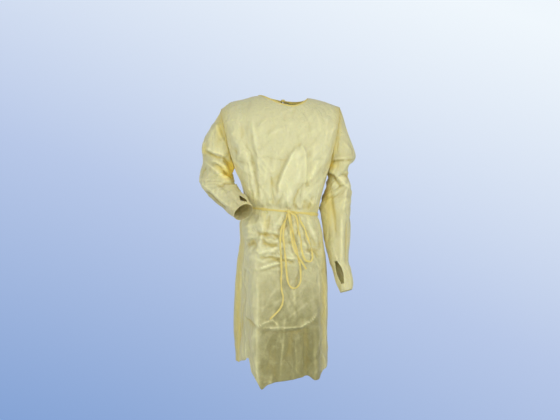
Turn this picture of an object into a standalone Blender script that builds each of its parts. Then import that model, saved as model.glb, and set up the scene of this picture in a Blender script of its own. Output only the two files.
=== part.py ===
"""Back-opening protective gown, worn form: front, two lapped backs, two set-in
sleeves that run on over the hand to a thumb opening, a neck binding that ties at
the nape, and a waist tie knotted in a bow at the front.

Metres, +Z up. The front faces -Y and the wearer's left arm is on +X. The origin is
the middle of the neck opening at shoulder height, where the wearer carries it.
"""

import math

import bpy
import numpy as np

# ---------------------------------------------------------------- driving sizes
WALL = 0.0012            # cloth thickness as built
SEAM_GAP = 0.0003        # clear distance between neighbouring pieces
SEAM_PULL = 0.0004       # how far each panel's sewn edge stops short of the seam line
ARMHOLE_STEP = 0.0015    # how far outside the armhole line a sleeve starts

SLEEVE_CLEAR_STEP = 0.004  # each section further down stands this much further off
SLEEVE_CLEAR = 0.010     # the body, up to this

UNDERARM_Z = -0.285      # height of the armhole's lowest point
BELT_Z = -0.434          # height of the waist tie on the centre line
BELT_TILT = -0.10        # the tie drops this much per metre towards +X
BELT_REACH = 0.22        # how far above and below the waist the cloth shares that tilt
HEM_Z = -1.045           # nominal hem height, where the section table ends

NECK_HALF = 0.100        # half width of the neck opening
NECK_DROP_FRONT = 0.052  # front neck edge below the shoulder line
NECK_DROP_BACK = 0.018
SHOULDER_ROUND = 0.150   # height over which the shoulders round off to the seam
SQUARENESS = 2.5         # superellipse exponent of the body sections

# Columns and rows of each cloth grid.
FRONT_COLUMNS = (10, 15, 10)   # right of the neck, across it, left of it
BACK_COLUMNS = (10, 11)        # beside the neck, and from there to the free edge
YOKE_ROWS, BODICE_ROWS, SKIRT_ROWS = 9, 7, 14
SLEEVE_COLUMNS = 2 * YOKE_ROWS
ELBOW_RING = 9           # section at which the right sleeve is two solids
ELBOW_PULL = 0.00045     # how far each of them stops short of it

# ---------------------------------------------------------------- tables
# Body sections: half widths to the wearer's right (-X) and left (+X), depths of the
# centre front and centre back, and the depth at the armhole's edges.
SECTIONS = (
    # z, right_x, left_x, front_y, back_y, arm_front_y, arm_back_y
    (0.000, 0.226, 0.213, 0.128, 0.118, 0.060, 0.060),
    (-0.060, 0.232, 0.212, 0.132, 0.122, 0.070, 0.070),
    (-0.110, 0.222, 0.205, 0.134, 0.126, 0.076, 0.076),
    (-0.160, 0.210, 0.195, 0.135, 0.128, 0.074, 0.074),
    (-0.210, 0.200, 0.184, 0.136, 0.128, 0.062, 0.062),
    (-0.250, 0.191, 0.174, 0.136, 0.127, 0.040, 0.040),
    (-0.285, 0.182, 0.166, 0.136, 0.126, 0.000, 0.000),
    (-0.340, 0.158, 0.148, 0.137, 0.126, 0.000, 0.000),
    (-0.385, 0.146, 0.140, 0.138, 0.127, 0.000, 0.000),
    (-0.410, 0.142, 0.136, 0.131, 0.123, 0.000, 0.000),
    (-0.427, 0.137, 0.131, 0.117, 0.113, 0.000, 0.000),
    (-0.441, 0.137, 0.131, 0.117, 0.113, 0.000, 0.000),
    (-0.460, 0.143, 0.138, 0.125, 0.121, 0.000, 0.000),
    (-0.500, 0.152, 0.148, 0.132, 0.131, 0.000, 0.000),
    (-0.560, 0.162, 0.156, 0.138, 0.140, 0.000, 0.000),
    (-0.640, 0.170, 0.164, 0.143, 0.148, 0.000, 0.000),
    (-0.760, 0.172, 0.167, 0.147, 0.155, 0.000, 0.000),
    (-0.900, 0.171, 0.166, 0.150, 0.160, 0.000, 0.000),
    (-1.045, 0.170, 0.168, 0.152, 0.163, 0.000, 0.000),
)
# The line of the two shoulder seams and of the neck between them.
SHOULDER_LINE = (
    # x, z
    (-0.240, -0.056),
    (-0.222, -0.040),
    (-0.195, -0.021),
    (-0.150, -0.011),
    (-0.100, 0.002),
    (0.000, 0.006),
    (0.100, -0.006),
    (0.156, -0.019),
    (0.190, -0.031),
    (0.216, -0.040),
)
# Hem height round the skirt. 0 is centre front, + towards the wearer's left.
HEM = (
    # degrees, z
    (-180, -1.036),
    (-135, -1.031),
    (-110, -1.034),
    (-92, -1.016),
    (-76, -1.000),
    (-58, -0.992),
    (-45, -0.990),
    (-38, -1.017),
    (-31, -1.026),
    (-26, -1.044),
    (-21, -1.071),
    (-14, -1.055),
    (0, -1.043),
    (21, -1.029),
    (28, -1.026),
    (36, -1.041),
    (46, -1.040),
    (54, -1.026),
    (64, -1.014),
    (90, -1.016),
    (135, -1.032),
    (180, -1.036),
)
# How far each back panel reaches past the centre back: a little short of it at the
# tied neck, well over it at the hem.
BACK_LAP = (
    # z, past_centre
    (0.010, -0.010),
    (-0.060, -0.002),
    (-0.140, 0.030),
    (-0.300, 0.070),
    (-0.434, 0.085),
    (-0.700, 0.105),
    (-1.045, 0.120),
)
LAP_SPREAD = 0.0042      # each lapped layer lies this far off the common surface
LAP_FADE = 0.060         # width over which a panel comes back to the common surface

# Folds of the front, drawn as seen from the front. + is a ridge, - a trough.
FRONT_FOLDS = (
    # x0, z0, x1, z1, half_width, height
    (-0.175, -0.150, -0.095, -0.400, 0.020, 0.010),
    (-0.130, -0.150, -0.078, -0.385, 0.019, -0.010),
    (-0.118, -0.070, -0.092, -0.210, 0.015, 0.005),
    (-0.092, -0.210, -0.080, -0.400, 0.015, 0.007),
    (-0.020, -0.250, -0.035, -0.400, 0.030, -0.006),
    (0.068, -0.205, 0.020, -0.400, 0.024, 0.011),
    (0.088, -0.215, 0.086, -0.330, 0.014, -0.005),
    (0.105, -0.260, 0.068, -0.405, 0.015, -0.010),
    (0.148, -0.240, 0.092, -0.410, 0.016, 0.009),
    (0.192, -0.070, 0.160, -0.270, 0.016, 0.004),
    (-0.064, -0.455, -0.090, -0.590, 0.013, 0.008),
    (-0.108, -0.470, -0.118, -0.570, 0.014, -0.006),
    (0.030, -0.460, 0.040, -0.560, 0.016, -0.005),
    (0.090, -0.460, 0.128, -0.560, 0.013, 0.007),
    (0.070, -0.465, 0.055, -0.540, 0.012, 0.006),
    (-0.120, -0.590, 0.000, -0.565, 0.016, 0.005),
    (-0.095, -0.640, 0.010, -0.615, 0.015, 0.006),
    (0.000, -0.655, 0.125, -0.640, 0.016, -0.006),
    (-0.096, -0.640, -0.086, -1.100, 0.026, 0.014),
    (-0.150, -0.560, -0.146, -1.100, 0.028, -0.022),
    (-0.010, -0.760, -0.005, -1.100, 0.045, -0.008),
    (0.080, -0.820, 0.084, -1.100, 0.017, -0.013),
    (0.112, -0.780, 0.114, -1.100, 0.018, 0.013),
    (0.150, -0.620, 0.148, -1.100, 0.020, -0.006),
)
# Folds of the back, drawn as seen in plan from the front (same x).
BACK_FOLDS = (
    # x0, z0, x1, z1, half_width, height
    (-0.165, -0.130, -0.110, -0.395, 0.020, 0.009),
    (-0.120, -0.180, -0.080, -0.395, 0.018, -0.009),
    (-0.075, -0.200, -0.050, -0.400, 0.020, 0.007),
    (0.000, -0.230, 0.000, -0.400, 0.030, -0.006),
    (0.070, -0.190, 0.048, -0.400, 0.020, 0.008),
    (0.115, -0.170, 0.080, -0.395, 0.018, -0.009),
    (0.155, -0.140, 0.108, -0.395, 0.020, 0.009),
    (-0.100, -0.460, -0.118, -0.640, 0.016, 0.008),
    (-0.050, -0.460, -0.060, -0.620, 0.015, -0.007),
    (0.000, -0.460, -0.004, -0.660, 0.018, 0.008),
    (0.055, -0.460, 0.062, -0.620, 0.015, -0.007),
    (0.100, -0.460, 0.118, -0.650, 0.016, 0.008),
    (-0.168, -0.480, -0.178, -1.100, 0.026, 0.022),
    (-0.110, -0.640, -0.118, -1.100, 0.024, -0.014),
    (-0.058, -0.700, -0.062, -1.100, 0.026, 0.011),
    (0.004, -0.720, 0.002, -1.100, 0.024, -0.010),
    (0.070, -0.660, 0.076, -1.100, 0.026, 0.013),
    (0.128, -0.600, 0.134, -1.100, 0.022, -0.009),
    (0.162, -0.560, 0.164, -1.100, 0.018, 0.007),
)
# Small gathers that the tie draws into the cloth: waves that fade away from it.
GATHER_WAVES = (
    # waves round the waist, phase in degrees, height
    (23, 20, 0.0022),
    (31, 140, 0.0018),
    (14, 65, 0.0026),
)
GATHER_REACH = 0.075     # the waves fade over this height
GATHER_CLEAR = 0.016     # and are pressed flat this near the tie
FOLD_CLEAR = 0.030       # the larger folds are pressed flat over this height
PINCH_HALF = 0.0065      # the cloth is straight under the tie this far either way

# Sleeve sections, each from its outer to its inner point. The armhole comes first and
# is taken from the body; blend says how far a section has left the armhole's shape.
SLEEVE_LEFT = (
    # outer x, y, z, inner x, y, z, half_thickness, blend
    (0.224, 0.002, -0.066, 0.1715, 0.000, -0.303, 0.072, 0.25),
    (0.241, 0.004, -0.120, 0.1725, 0.002, -0.311, 0.074, 0.55),
    (0.258, 0.008, -0.172, 0.1710, 0.004, -0.319, 0.073, 0.80),
    (0.273, 0.012, -0.216, 0.1690, 0.006, -0.327, 0.070, 1.00),
    (0.272, 0.015, -0.238, 0.1670, 0.008, -0.335, 0.067, 1.00),
    (0.254, 0.018, -0.256, 0.1650, 0.010, -0.344, 0.063, 1.00),
    (0.247, 0.020, -0.285, 0.1620, 0.011, -0.356, 0.060, 1.00),
    (0.251, 0.020, -0.312, 0.1590, 0.010, -0.371, 0.060, 1.00),
    (0.259, 0.018, -0.336, 0.1565, 0.008, -0.388, 0.060, 1.00),
    (0.260, 0.012, -0.375, 0.1545, 0.004, -0.412, 0.058, 1.00),
    (0.259, 0.004, -0.420, 0.1550, -0.004, -0.446, 0.056, 1.00),
    (0.256, -0.006, -0.468, 0.1590, -0.014, -0.486, 0.053, 1.00),
    (0.253, -0.016, -0.514, 0.1640, -0.024, -0.526, 0.049, 1.00),
    (0.249, -0.026, -0.556, 0.1700, -0.034, -0.562, 0.045, 1.00),
    (0.244, -0.034, -0.596, 0.1760, -0.042, -0.598, 0.040, 1.00),
    (0.243, -0.040, -0.626, 0.1800, -0.048, -0.626, 0.037, 1.00),
    (0.250, -0.046, -0.650, 0.1850, -0.054, -0.652, 0.036, 1.00),
    (0.257, -0.052, -0.674, 0.1925, -0.060, -0.680, 0.035, 1.00),
    (0.260, -0.058, -0.700, 0.2020, -0.066, -0.708, 0.033, 1.00),
    (0.256, -0.064, -0.724, 0.2130, -0.072, -0.734, 0.030, 1.00),
)
SLEEVE_RIGHT = (
    # outer x, y, z, inner x, y, z, half_thickness, blend
    (-0.240, 0.004, -0.062, -0.1890, 0.001, -0.2820, 0.074, 0.25),
    (-0.262, 0.010, -0.098, -0.1915, 0.002, -0.2870, 0.077, 0.55),
    (-0.292, 0.018, -0.146, -0.1935, 0.002, -0.2920, 0.075, 0.80),
    (-0.303, 0.028, -0.186, -0.1950, 0.000, -0.2970, 0.070, 1.00),
    (-0.302, 0.040, -0.216, -0.1955, -0.004, -0.3020, 0.064, 1.00),
    (-0.297, 0.050, -0.244, -0.1950, -0.009, -0.3070, 0.058, 1.00),
    (-0.305, 0.058, -0.268, -0.1945, -0.016, -0.3125, 0.054, 1.00),
    (-0.312, 0.060, -0.294, -0.1930, -0.024, -0.3185, 0.052, 1.00),
    (-0.312, 0.054, -0.320, -0.1900, -0.034, -0.3250, 0.052, 1.00),
    (-0.300, 0.036, -0.344, -0.1840, -0.048, -0.3330, 0.052, 1.00),
    (-0.281, 0.010, -0.366, -0.1750, -0.067, -0.3440, 0.051, 1.00),
    (-0.259, -0.020, -0.388, -0.1650, -0.088, -0.3560, 0.049, 1.00),
    (-0.236, -0.050, -0.408, -0.1540, -0.110, -0.3690, 0.046, 1.00),
    (-0.215, -0.080, -0.424, -0.1430, -0.131, -0.3770, 0.042, 1.00),
    (-0.198, -0.108, -0.438, -0.1330, -0.151, -0.3870, 0.039, 1.00),
    (-0.185, -0.131, -0.448, -0.1270, -0.168, -0.3950, 0.037, 1.00),
    (-0.173, -0.151, -0.456, -0.1210, -0.184, -0.4030, 0.034, 1.00),
    (-0.163, -0.170, -0.464, -0.1170, -0.198, -0.4120, 0.030, 1.00),
)
# Sleeve folds: where along the sleeve (section number), round it (degrees, 0 outer,
# 90 front, 180 inner), how far it climbs per turn, and its size.
SLEEVE_LEFT_FOLDS = (
    # section, degrees, spread, climb, half_width, height
    (5.6, 70, 80, 0.6, 0.6, -0.007),
    (7.6, 95, 70, -3.0, 0.7, 0.006),
    (8.8, 120, 60, -3.0, 0.7, -0.007),
    (6.0, 270, 80, 0.5, 0.7, -0.006),
    (8.6, 270, 70, 1.5, 0.8, -0.005),
    (2.0, 75, 50, 1.0, 0.8, -0.003),
    (12.5, 135, 40, 8.0, 0.9, -0.003),
)
SLEEVE_RIGHT_FOLDS = (
    # section, degrees, spread, climb, half_width, height
    (2.2, 110, 50, 6.0, 0.8, -0.006),
    (5.4, 90, 90, 2.2, 0.6, -0.008),
    (6.6, 120, 60, 1.5, 0.6, 0.006),
    (7.8, 125, 60, 1.5, 0.7, -0.008),
    (6.0, 250, 70, 1.0, 0.7, -0.006),
    (11.5, 300, 60, 2.0, 0.9, -0.004),
)
# The thumb opening of each sleeve: first and last section, and its middle direction.
THUMB_LEFT = (16.0, 19.2, 130)
THUMB_RIGHT = (14.4, 17.0, 160)
THUMB_HALF_WIDTH = 0.012

# Waist tie, neck binding and their knots.
TIE_WIDTH = 0.0080
TIE_THICK = 0.0016
TIE_OFF = 0.0022         # middle of the tie off the middle of the cloth
BINDING_WIDTH = 0.0070
BINDING_THICK = 0.0028
BINDING_LEAN = 0.8       # how much it leans in over the neck, against standing up
BINDING_CLEAR = 0.0009
KNOT_X = 0.0190          # the bow's knot, on the front of the tie
KNOT_SIZE = (0.0085, 0.0055, 0.0075)
NAPE_KNOT_SIZE = (0.0080, 0.0050, 0.0065)
KNOT_ENDS = 0.0083       # where the binding stops beside the nape knot

# Routes of the bow and of the ends, as seen from the front: x, z and how far the tape
# stands off the cloth.
TIE_END_LONG = (
    (0.0160, -0.4422, 0.0058),
    (0.0145, -0.4540, 0.0052),
    (0.0020, -0.4780, 0.0046),
    (-0.0090, -0.5140, 0.0044),
    (-0.0100, -0.5580, 0.0043),
    (-0.0070, -0.6060, 0.0043),
    (-0.0060, -0.6520, 0.0043),
    (-0.0070, -0.6860, 0.0043),
    (-0.0050, -0.7160, 0.0043),
    (0.0010, -0.7420, 0.0043),
    (-0.0020, -0.7660, 0.0043),
    (-0.0150, -0.7890, 0.0043),
    (-0.0320, -0.8060, 0.0044),
    (-0.0480, -0.8220, 0.0046),
)
TIE_END_SHORT = (
    (0.0185, -0.4422, 0.0122),
    (0.0188, -0.4540, 0.0126),
    (0.0205, -0.4800, 0.0130),
    (0.0245, -0.5200, 0.0130),
    (0.0300, -0.5480, 0.0130),
    (0.0400, -0.5760, 0.0135),
    (0.0540, -0.6010, 0.0130),
    (0.0680, -0.6220, 0.0120),
    (0.0800, -0.6390, 0.0115),
)
LOOP_LONG = (
    (0.0150, -0.4430, 0.0090),
    (0.0132, -0.4550, 0.0088),
    (0.0040, -0.4800, 0.0085),
    (0.0000, -0.5160, 0.0082),
    (0.0030, -0.5560, 0.0080),
    (0.0080, -0.6000, 0.0078),
    (0.0110, -0.6440, 0.0076),
    (0.0150, -0.6780, 0.0076),
    (0.0240, -0.7020, 0.0076),
    (0.0380, -0.7110, 0.0076),
    (0.0530, -0.7020, 0.0076),
    (0.0620, -0.6780, 0.0076),
    (0.0610, -0.6440, 0.0078),
    (0.0520, -0.5960, 0.0080),
    (0.0430, -0.5500, 0.0082),
    (0.0330, -0.5060, 0.0085),
    (0.0262, -0.4700, 0.0090),
    (0.0240, -0.4560, 0.0090),
    (0.0238, -0.4433, 0.0088),
)
LOOP_SHORT = (
    (0.0281, -0.4362, 0.0088),
    (0.0420, -0.4366, 0.0105),
    (0.0520, -0.4500, 0.0120),
    (0.0600, -0.4720, 0.0120),
    (0.0740, -0.5060, 0.0120),
    (0.0880, -0.5420, 0.0120),
    (0.0980, -0.5780, 0.0120),
    (0.1010, -0.6020, 0.0120),
    (0.0930, -0.6170, 0.0125),
    (0.0790, -0.6130, 0.0130),
    (0.0680, -0.5930, 0.0135),
    (0.0620, -0.5620, 0.0140),
    (0.0590, -0.5240, 0.0150),
    (0.0560, -0.4860, 0.0160),
    (0.0480, -0.4600, 0.0170),
    (0.0330, -0.4450, 0.0150),
)
NECK_END_LEFT = (
    (0.0046, -0.0080, 0.0042),
    (0.0060, -0.0240, 0.0044),
    (0.0100, -0.0480, 0.0042),
    (0.0150, -0.0900, 0.0040),
    (0.0160, -0.1300, 0.0040),
    (0.0220, -0.1750, 0.0042),
)
NECK_END_RIGHT = (
    (-0.0044, -0.0080, 0.0042),
    (-0.0070, -0.0240, 0.0044),
    (-0.0120, -0.0480, 0.0042),
    (-0.0150, -0.0850, 0.0040),
    (-0.0240, -0.1200, 0.0040),
    (-0.0280, -0.1500, 0.0042),
)
TAPE_STEP = 0.012        # spacing of the points along a tape

# ---------------------------------------------------------------- colours
YELLOW_CLOTH = (0.80, 0.74, 0.40, 1.0)
YELLOW_TAPE = (0.88, 0.76, 0.30, 1.0)


# ---------------------------------------------------------------- small maths
def smooth_curve(table, column, at):
    """A smooth curve through one column of a table, against its first column."""
    rows = np.array(sorted(table, key=lambda row: row[0]), float)
    x, y = rows[:, 0], rows[:, column]
    rate = np.diff(y) / np.diff(x)
    before, after = np.append(rate[:1], rate), np.append(rate, rate[-1:])
    turns = before * after <= 0
    slope = np.where(turns, 0.0, 2 * before * after / np.where(turns, 1, before + after))
    at = np.clip(np.asarray(at, float), x[0], x[-1])
    i = np.clip(np.searchsorted(x, at) - 1, 0, len(x) - 2)
    span = x[i + 1] - x[i]
    t = (at - x[i]) / span
    rise = t * t * (3 - 2 * t)
    start = t * (1 - t) ** 2 * span * slope[i]
    stop = t * t * (t - 1) * span * slope[i + 1]
    return y[i] * (1 - rise) + y[i + 1] * rise + start + stop


def ease(t):
    t = np.clip(t, 0.0, 1.0)
    return t * t * (3 - 2 * t)


def unit(vectors):
    length = np.linalg.norm(vectors, axis=-1, keepdims=True)
    return vectors / np.maximum(length, 1e-12)


def grid_normals(points):
    """Outward normals of a grid whose columns run clockwise seen from above."""
    along = np.gradient(points, axis=0)
    down = np.gradient(points, axis=1)
    return unit(np.cross(down, along))


def fold_heights(folds, x, z):
    """Sum of the folds at points of a panel, given as seen from the front."""
    height = np.zeros_like(x)
    for x0, z0, x1, z1, half_width, peak in folds:
        run = np.array([x1 - x0, z1 - z0])
        length = np.hypot(*run)
        along = ((x - x0) * run[0] + (z - z0) * run[1]) / length**2
        nearest = np.clip(along, 0, 1)
        off = np.hypot(x - x0 - nearest * run[0], z - z0 - nearest * run[1])
        fade = ease(1.2 - np.abs(along - 0.5) * 1.2)
        height += peak * fade * np.exp(-((off / half_width) ** 2))
    return height


def away_from_tie(z):
    """Height above or below the straight strip of cloth under the waist tie."""
    return np.maximum(np.abs(z - BELT_Z) - PINCH_HALF, 0)


# ---------------------------------------------------------------- body surface
def neck_profile(x):
    """Share of the neck drop at x, 0 at the shoulder seams; deepest left of centre."""
    across = np.clip((x + NECK_HALF) / (2 * NECK_HALF), 0, 1)
    return np.sin(math.pi * across**1.5).clip(0) ** 0.8


def section_x(share, z):
    """x of a point of a body section; share runs from -1 to 1 between the sides."""
    side = np.abs(np.sin(share * math.pi / 2)) ** (2 / SQUARENESS)
    right, left = (smooth_curve(SECTIONS, column, z) for column in (1, 2))
    return np.where(share < 0, -right * side, left * side)


def section_depth(share, z, front):
    """Distance of that point in front of or behind the side line."""
    bulge = np.abs(np.cos(share * math.pi / 2)) ** (2 / SQUARENESS)
    middle = smooth_curve(SECTIONS, 3 if front else 4, z)
    edge = smooth_curve(SECTIONS, 5 if front else 6, z)
    return edge + (middle - edge) * bulge


def body_surface(share, z, front):
    """Points of the smooth body, with shoulders rounded off and the waist tilted."""
    x = section_x(share, z)
    below = smooth_curve(SHOULDER_LINE, 1, x) - z
    left = 1 - np.clip(below / SHOULDER_ROUND, 0, 1)
    rounding = np.sqrt(np.clip(1 - left**2, 0, 1))
    y = section_depth(share, z, front) * rounding
    tilt = BELT_TILT * np.exp(-(((z - BELT_Z) / BELT_REACH) ** 2))
    return np.stack([x, -y if front else y, z + tilt * x], axis=-1)


def shoulder_height(share):
    """Height at which the body at each share meets the line of the shoulder seams."""
    z = np.full_like(share, -0.03)
    for _ in range(12):
        z = smooth_curve(SHOULDER_LINE, 1, section_x(share, z))
    return z


def row_heights(share, front):
    """Heights of the body's rows at each share: neck or shoulder edge down to hem."""
    x_top = section_x(share, np.full_like(share, -0.03))
    drop = NECK_DROP_FRONT if front else NECK_DROP_BACK
    top = shoulder_height(share) - drop * neck_profile(x_top)
    yoke = np.linspace(0, 1, YOKE_ROWS + 1) ** 1.35
    rows = [top + (UNDERARM_Z - top) * f for f in yoke]
    bodice_end, skirt_start = BELT_Z + PINCH_HALF, BELT_Z - PINCH_HALF
    for f in 1 - (1 - np.linspace(0, 1, BODICE_ROWS + 1)[1:]) ** 1.3:
        rows.append(np.full_like(share, UNDERARM_Z + (bodice_end - UNDERARM_Z) * f))
    for f in np.linspace(0, 1, SKIRT_ROWS + 1) ** 1.3:
        rows.append(np.full_like(share, skirt_start + (HEM_Z - skirt_start) * f))
    return np.array(rows).T


def hem_shift(angle, z):
    """How far the skirt's rows move so that the last one follows the hem table."""
    share = np.clip((BELT_Z - z) / (BELT_Z - HEM_Z), 0, 1)
    return (smooth_curve(HEM, 1, angle) - HEM_Z) * share**2


def tie_waves(angle, z):
    """Waves that the waist tie draws into the cloth just above and below it."""
    away = away_from_tie(z)
    fade = np.exp(-((away / GATHER_REACH) ** 2)) * ease(away / GATHER_CLEAR)
    waves = sum(
        peak * np.cos(np.radians(count * angle + phase))
        for count, phase, peak in GATHER_WAVES
    )
    return waves * fade


def relief(folds, share, angle, x, z):
    """Height of folds and gathers over the smooth body."""
    height = fold_heights(folds, x, z) * ease(away_from_tie(z) / FOLD_CLEAR)
    height = height + tie_waves(angle, z)
    return height * ease((1 - np.abs(share)) / 0.10)


def share_at(x, z):
    """The share at which a body section reaches x."""
    half = smooth_curve(SECTIONS, 2 if x > 0 else 1, z)
    return np.sign(x) * 2 / math.pi * math.asin((abs(x) / half) ** (SQUARENESS / 2))


def even_shares(start, stop, count, front):
    """Shares between two others, evenly spaced along a section of the skirt."""
    dense = np.linspace(start, stop, 500)
    line = body_surface(dense, np.full_like(dense, -0.60), front)[:, :2]
    run = np.append(0, np.cumsum(np.linalg.norm(np.diff(line, axis=0), axis=1)))
    return np.interp(np.linspace(0, run[-1], count), run, dense)


def joined(*pieces):
    """Runs of numbers joined where the end of one is the start of the next."""
    return np.concatenate([pieces[0]] + [piece[1:] for piece in pieces[1:]])


def front_points():
    """The front panel's grid, from the wearer's right side seam to the left."""
    right, left = share_at(-NECK_HALF, -0.03), share_at(NECK_HALF, -0.03)
    beside, across, other = FRONT_COLUMNS
    share = joined(
        even_shares(-1, right, beside, True),
        even_shares(right, left, across, True),
        even_shares(left, 1, other, True),
    )
    z = row_heights(share, front=True)
    wide = np.repeat(share[:, None], z.shape[1], axis=1)
    points = body_surface(wide, z, front=True)
    points[..., 2] += hem_shift(wide * 90.0, z)
    lift = relief(FRONT_FOLDS, wide, wide * 90.0, points[..., 0], z)
    lift *= ease((z[:, :1] - z) / 0.05)
    return points + grid_normals(points) * lift[..., None]


def lap_layer(x, z, left):
    """How far a back panel stands off the common surface where the two lap."""
    past = smooth_curve(BACK_LAP, 1, z)
    layer = ease(((-x if left else x) + past + LAP_FADE) / LAP_FADE)
    return LAP_SPREAD * layer * ease((past + 0.012) / 0.012) * (1 if left else -1)


def back_points(left):
    """A back panel's grid, from its side seam to the free edge past the centre."""
    sign = 1.0 if left else -1.0
    base = row_heights(np.zeros(1), front=False)[0]
    past = smooth_curve(BACK_LAP, 1, base)
    own, other = (2, 1) if left else (1, 2)
    half = np.where(past > 0, *(smooth_curve(SECTIONS, c, base) for c in (other, own)))
    turn = np.arcsin((np.abs(past) / half) ** (SQUARENESS / 2))
    end = -np.sign(past) * 2 / math.pi * turn
    neck = (1 - abs(share_at(sign * NECK_HALF, -0.03))) / (1 - end[0])
    low = end[-1]
    beside = even_shares(1, 1 + (low - 1) * neck, BACK_COLUMNS[0], False)
    across = even_shares(1 + (low - 1) * neck, low, BACK_COLUMNS[1], False)
    reach = (1 - joined(beside, across)) / (1 - low)
    wide = sign * (1 + (end[None, :] - 1) * reach[:, None])
    rows = [row_heights(wide[:, j], front=False)[:, j] for j in range(wide.shape[1])]
    z = np.array(rows).T
    points = body_surface(wide, z, front=False)
    angle = np.where(wide < 0, -180.0, 180.0) - wide * 90.0
    points[..., 2] += hem_shift(angle, z)
    lift = relief(BACK_FOLDS, wide, angle, points[..., 0], z)
    lift = lift * ease((z[:, :1] - z) / 0.05) + lap_layer(points[..., 0], z, left)
    return points + grid_normals(points) * (sign * lift)[..., None]


def front_face(x, z):
    """Points of the front cloth and the way it faces there, as seen from the front."""
    x, z = np.asarray(x, float), np.asarray(z, float)

    def depth(across, up):
        tilt = BELT_TILT * np.exp(-(((up - BELT_Z) / BELT_REACH) ** 2))
        level = up - tilt * across
        half = np.where(
            across < 0, *(smooth_curve(SECTIONS, column, level) for column in (1, 2))
        )
        share = np.arcsin((np.abs(across) / half) ** (SQUARENESS / 2)) * 2 / math.pi
        share = share * np.sign(across)
        smooth = section_depth(share, level, front=True)
        return -smooth - relief(FRONT_FOLDS, share, share * 90.0, across, level)

    step = 0.002
    y = depth(x, z)
    leaning = (depth(x + step, z) - depth(x - step, z)) / (2 * step)
    rising = (depth(x, z + step) - depth(x, z - step)) / (2 * step)
    facing = unit(np.stack([leaning, -np.ones_like(y), rising], axis=-1))
    return np.stack([x, y, z], axis=-1), facing


def back_face(x, z):
    """Points of the outermost back cloth near the centre, and the way it faces."""
    x, z = np.asarray(x, float), np.asarray(z, float)
    below = smooth_curve(SHOULDER_LINE, 1, x) - z
    left = 1 - np.clip(below / SHOULDER_ROUND, 0, 1)
    y = smooth_curve(SECTIONS, 4, z) * np.sqrt(1 - left**2) + LAP_SPREAD
    steep = smooth_curve(SECTIONS, 4, z) * left / SHOULDER_ROUND / np.sqrt(1 - left**2)
    facing = unit(np.stack([np.zeros_like(y), np.ones_like(y), steep], axis=-1))
    return np.stack([x, y, z], axis=-1), facing


# ---------------------------------------------------------------- making solids
def material(name, colour, roughness):
    made = bpy.data.materials.new(name)
    made.use_nodes = True
    shader = made.node_tree.nodes["Principled BSDF"]
    shader.inputs["Base Color"].default_value = colour
    shader.inputs["Roughness"].default_value = roughness
    shader.inputs["Metallic"].default_value = 0.0
    return made


def new_object(name, vertices, faces, finish):
    mesh = bpy.data.meshes.new(name)
    mesh.from_pydata([tuple(map(float, v)) for v in vertices], [], faces)
    mesh.materials.append(finish)
    mesh.shade_smooth()
    made = bpy.data.objects.new(name, mesh)
    bpy.context.scene.collection.objects.link(made)
    return made


def grid_faces(columns, rows, closed, dropped=()):
    """Quads of a grid numbered column by column; dropped cells are left open."""
    faces = []
    for i in range(columns if closed else columns - 1):
        for j in range(rows - 1):
            if (i, j) in dropped:
                continue
            k = (i + 1) % columns
            faces.append(
                (i * rows + j, i * rows + j + 1, k * rows + j + 1, k * rows + j)
            )
    return faces


def cloth(name, points, finish, closed=False, dropped=()):
    """A cloth wall built on a grid of points of its middle surface."""
    columns, rows = points.shape[:2]
    faces = grid_faces(columns, rows, closed, dropped)
    used = sorted({v for face in faces for v in face})
    number = {v: n for n, v in enumerate(used)}
    flat = points.reshape(-1, 3)
    made = new_object(
        name,
        [flat[v] for v in used],
        [tuple(number[v] for v in face) for face in faces],
        finish,
    )
    wall = made.modifiers.new("wall", "SOLIDIFY")
    wall.thickness = WALL
    wall.offset = 0.0
    wall.use_even_offset = False
    wall.use_quality_normals = True
    return made


def pull_in(points, side, distance):
    """Moves one edge of a grid towards its next row or column."""
    here, neighbour = {
        "first_column": ((0,), (1,)),
        "last_column": ((-1,), (-2,)),
        "first_row": ((slice(None), 0), (slice(None), 1)),
    }[side]
    points[here] += unit(points[neighbour] - points[here]) * distance


def strip(name, path, facing, width, thick, finish):
    """A flat tape along a path; facing holds the direction its flat side looks."""
    path = np.asarray(path, float)
    ahead = unit(np.gradient(path, axis=0))
    across = unit(np.cross(facing, ahead))
    outward = unit(np.cross(ahead, across))
    corners = []
    for w, t in ((-0.5, -0.5), (0.5, -0.5), (0.5, 0.5), (-0.5, 0.5)):
        corners.append(path + across * w * width + outward * t * thick)
    points = np.stack(corners)
    rows = len(path)
    faces = [face[::-1] for face in grid_faces(4, rows, True)]
    faces.append(tuple(i * rows for i in reversed(range(4))))
    faces.append(tuple(i * rows + rows - 1 for i in range(4)))
    return new_object(name, points.reshape(-1, 3), faces, finish)


def knot(name, centre, size, finish):
    """A small pulled-tight knot: a squashed ball with a waist."""
    rings, around = 7, 12
    vertices, faces = [], []
    for i in range(1, rings):
        polar = math.pi * i / rings
        waist = 1 - 0.16 * math.exp(-(((polar - math.pi / 2) / 0.35) ** 2))
        for j in range(around):
            turn = 2 * math.pi * j / around
            vertices.append(
                (
                    centre[0] - size[0] * math.cos(polar),
                    centre[1] + size[1] * waist * math.sin(polar) * math.cos(turn),
                    centre[2] + size[2] * waist * math.sin(polar) * math.sin(turn),
                )
            )
    for i in range(rings - 2):
        for j in range(around):
            k = (j + 1) % around
            faces.append(
                (
                    i * around + j,
                    i * around + k,
                    (i + 1) * around + k,
                    (i + 1) * around + j,
                )
            )
    first, last = len(vertices), len(vertices) + 1
    vertices.append((centre[0] - size[0], centre[1], centre[2]))
    vertices.append((centre[0] + size[0], centre[1], centre[2]))
    for j in range(around):
        k = (j + 1) % around
        faces.append((first, k, j))
        faces.append((last, (rings - 2) * around + j, (rings - 2) * around + k))
    return new_object(name, vertices, faces, finish)


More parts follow.
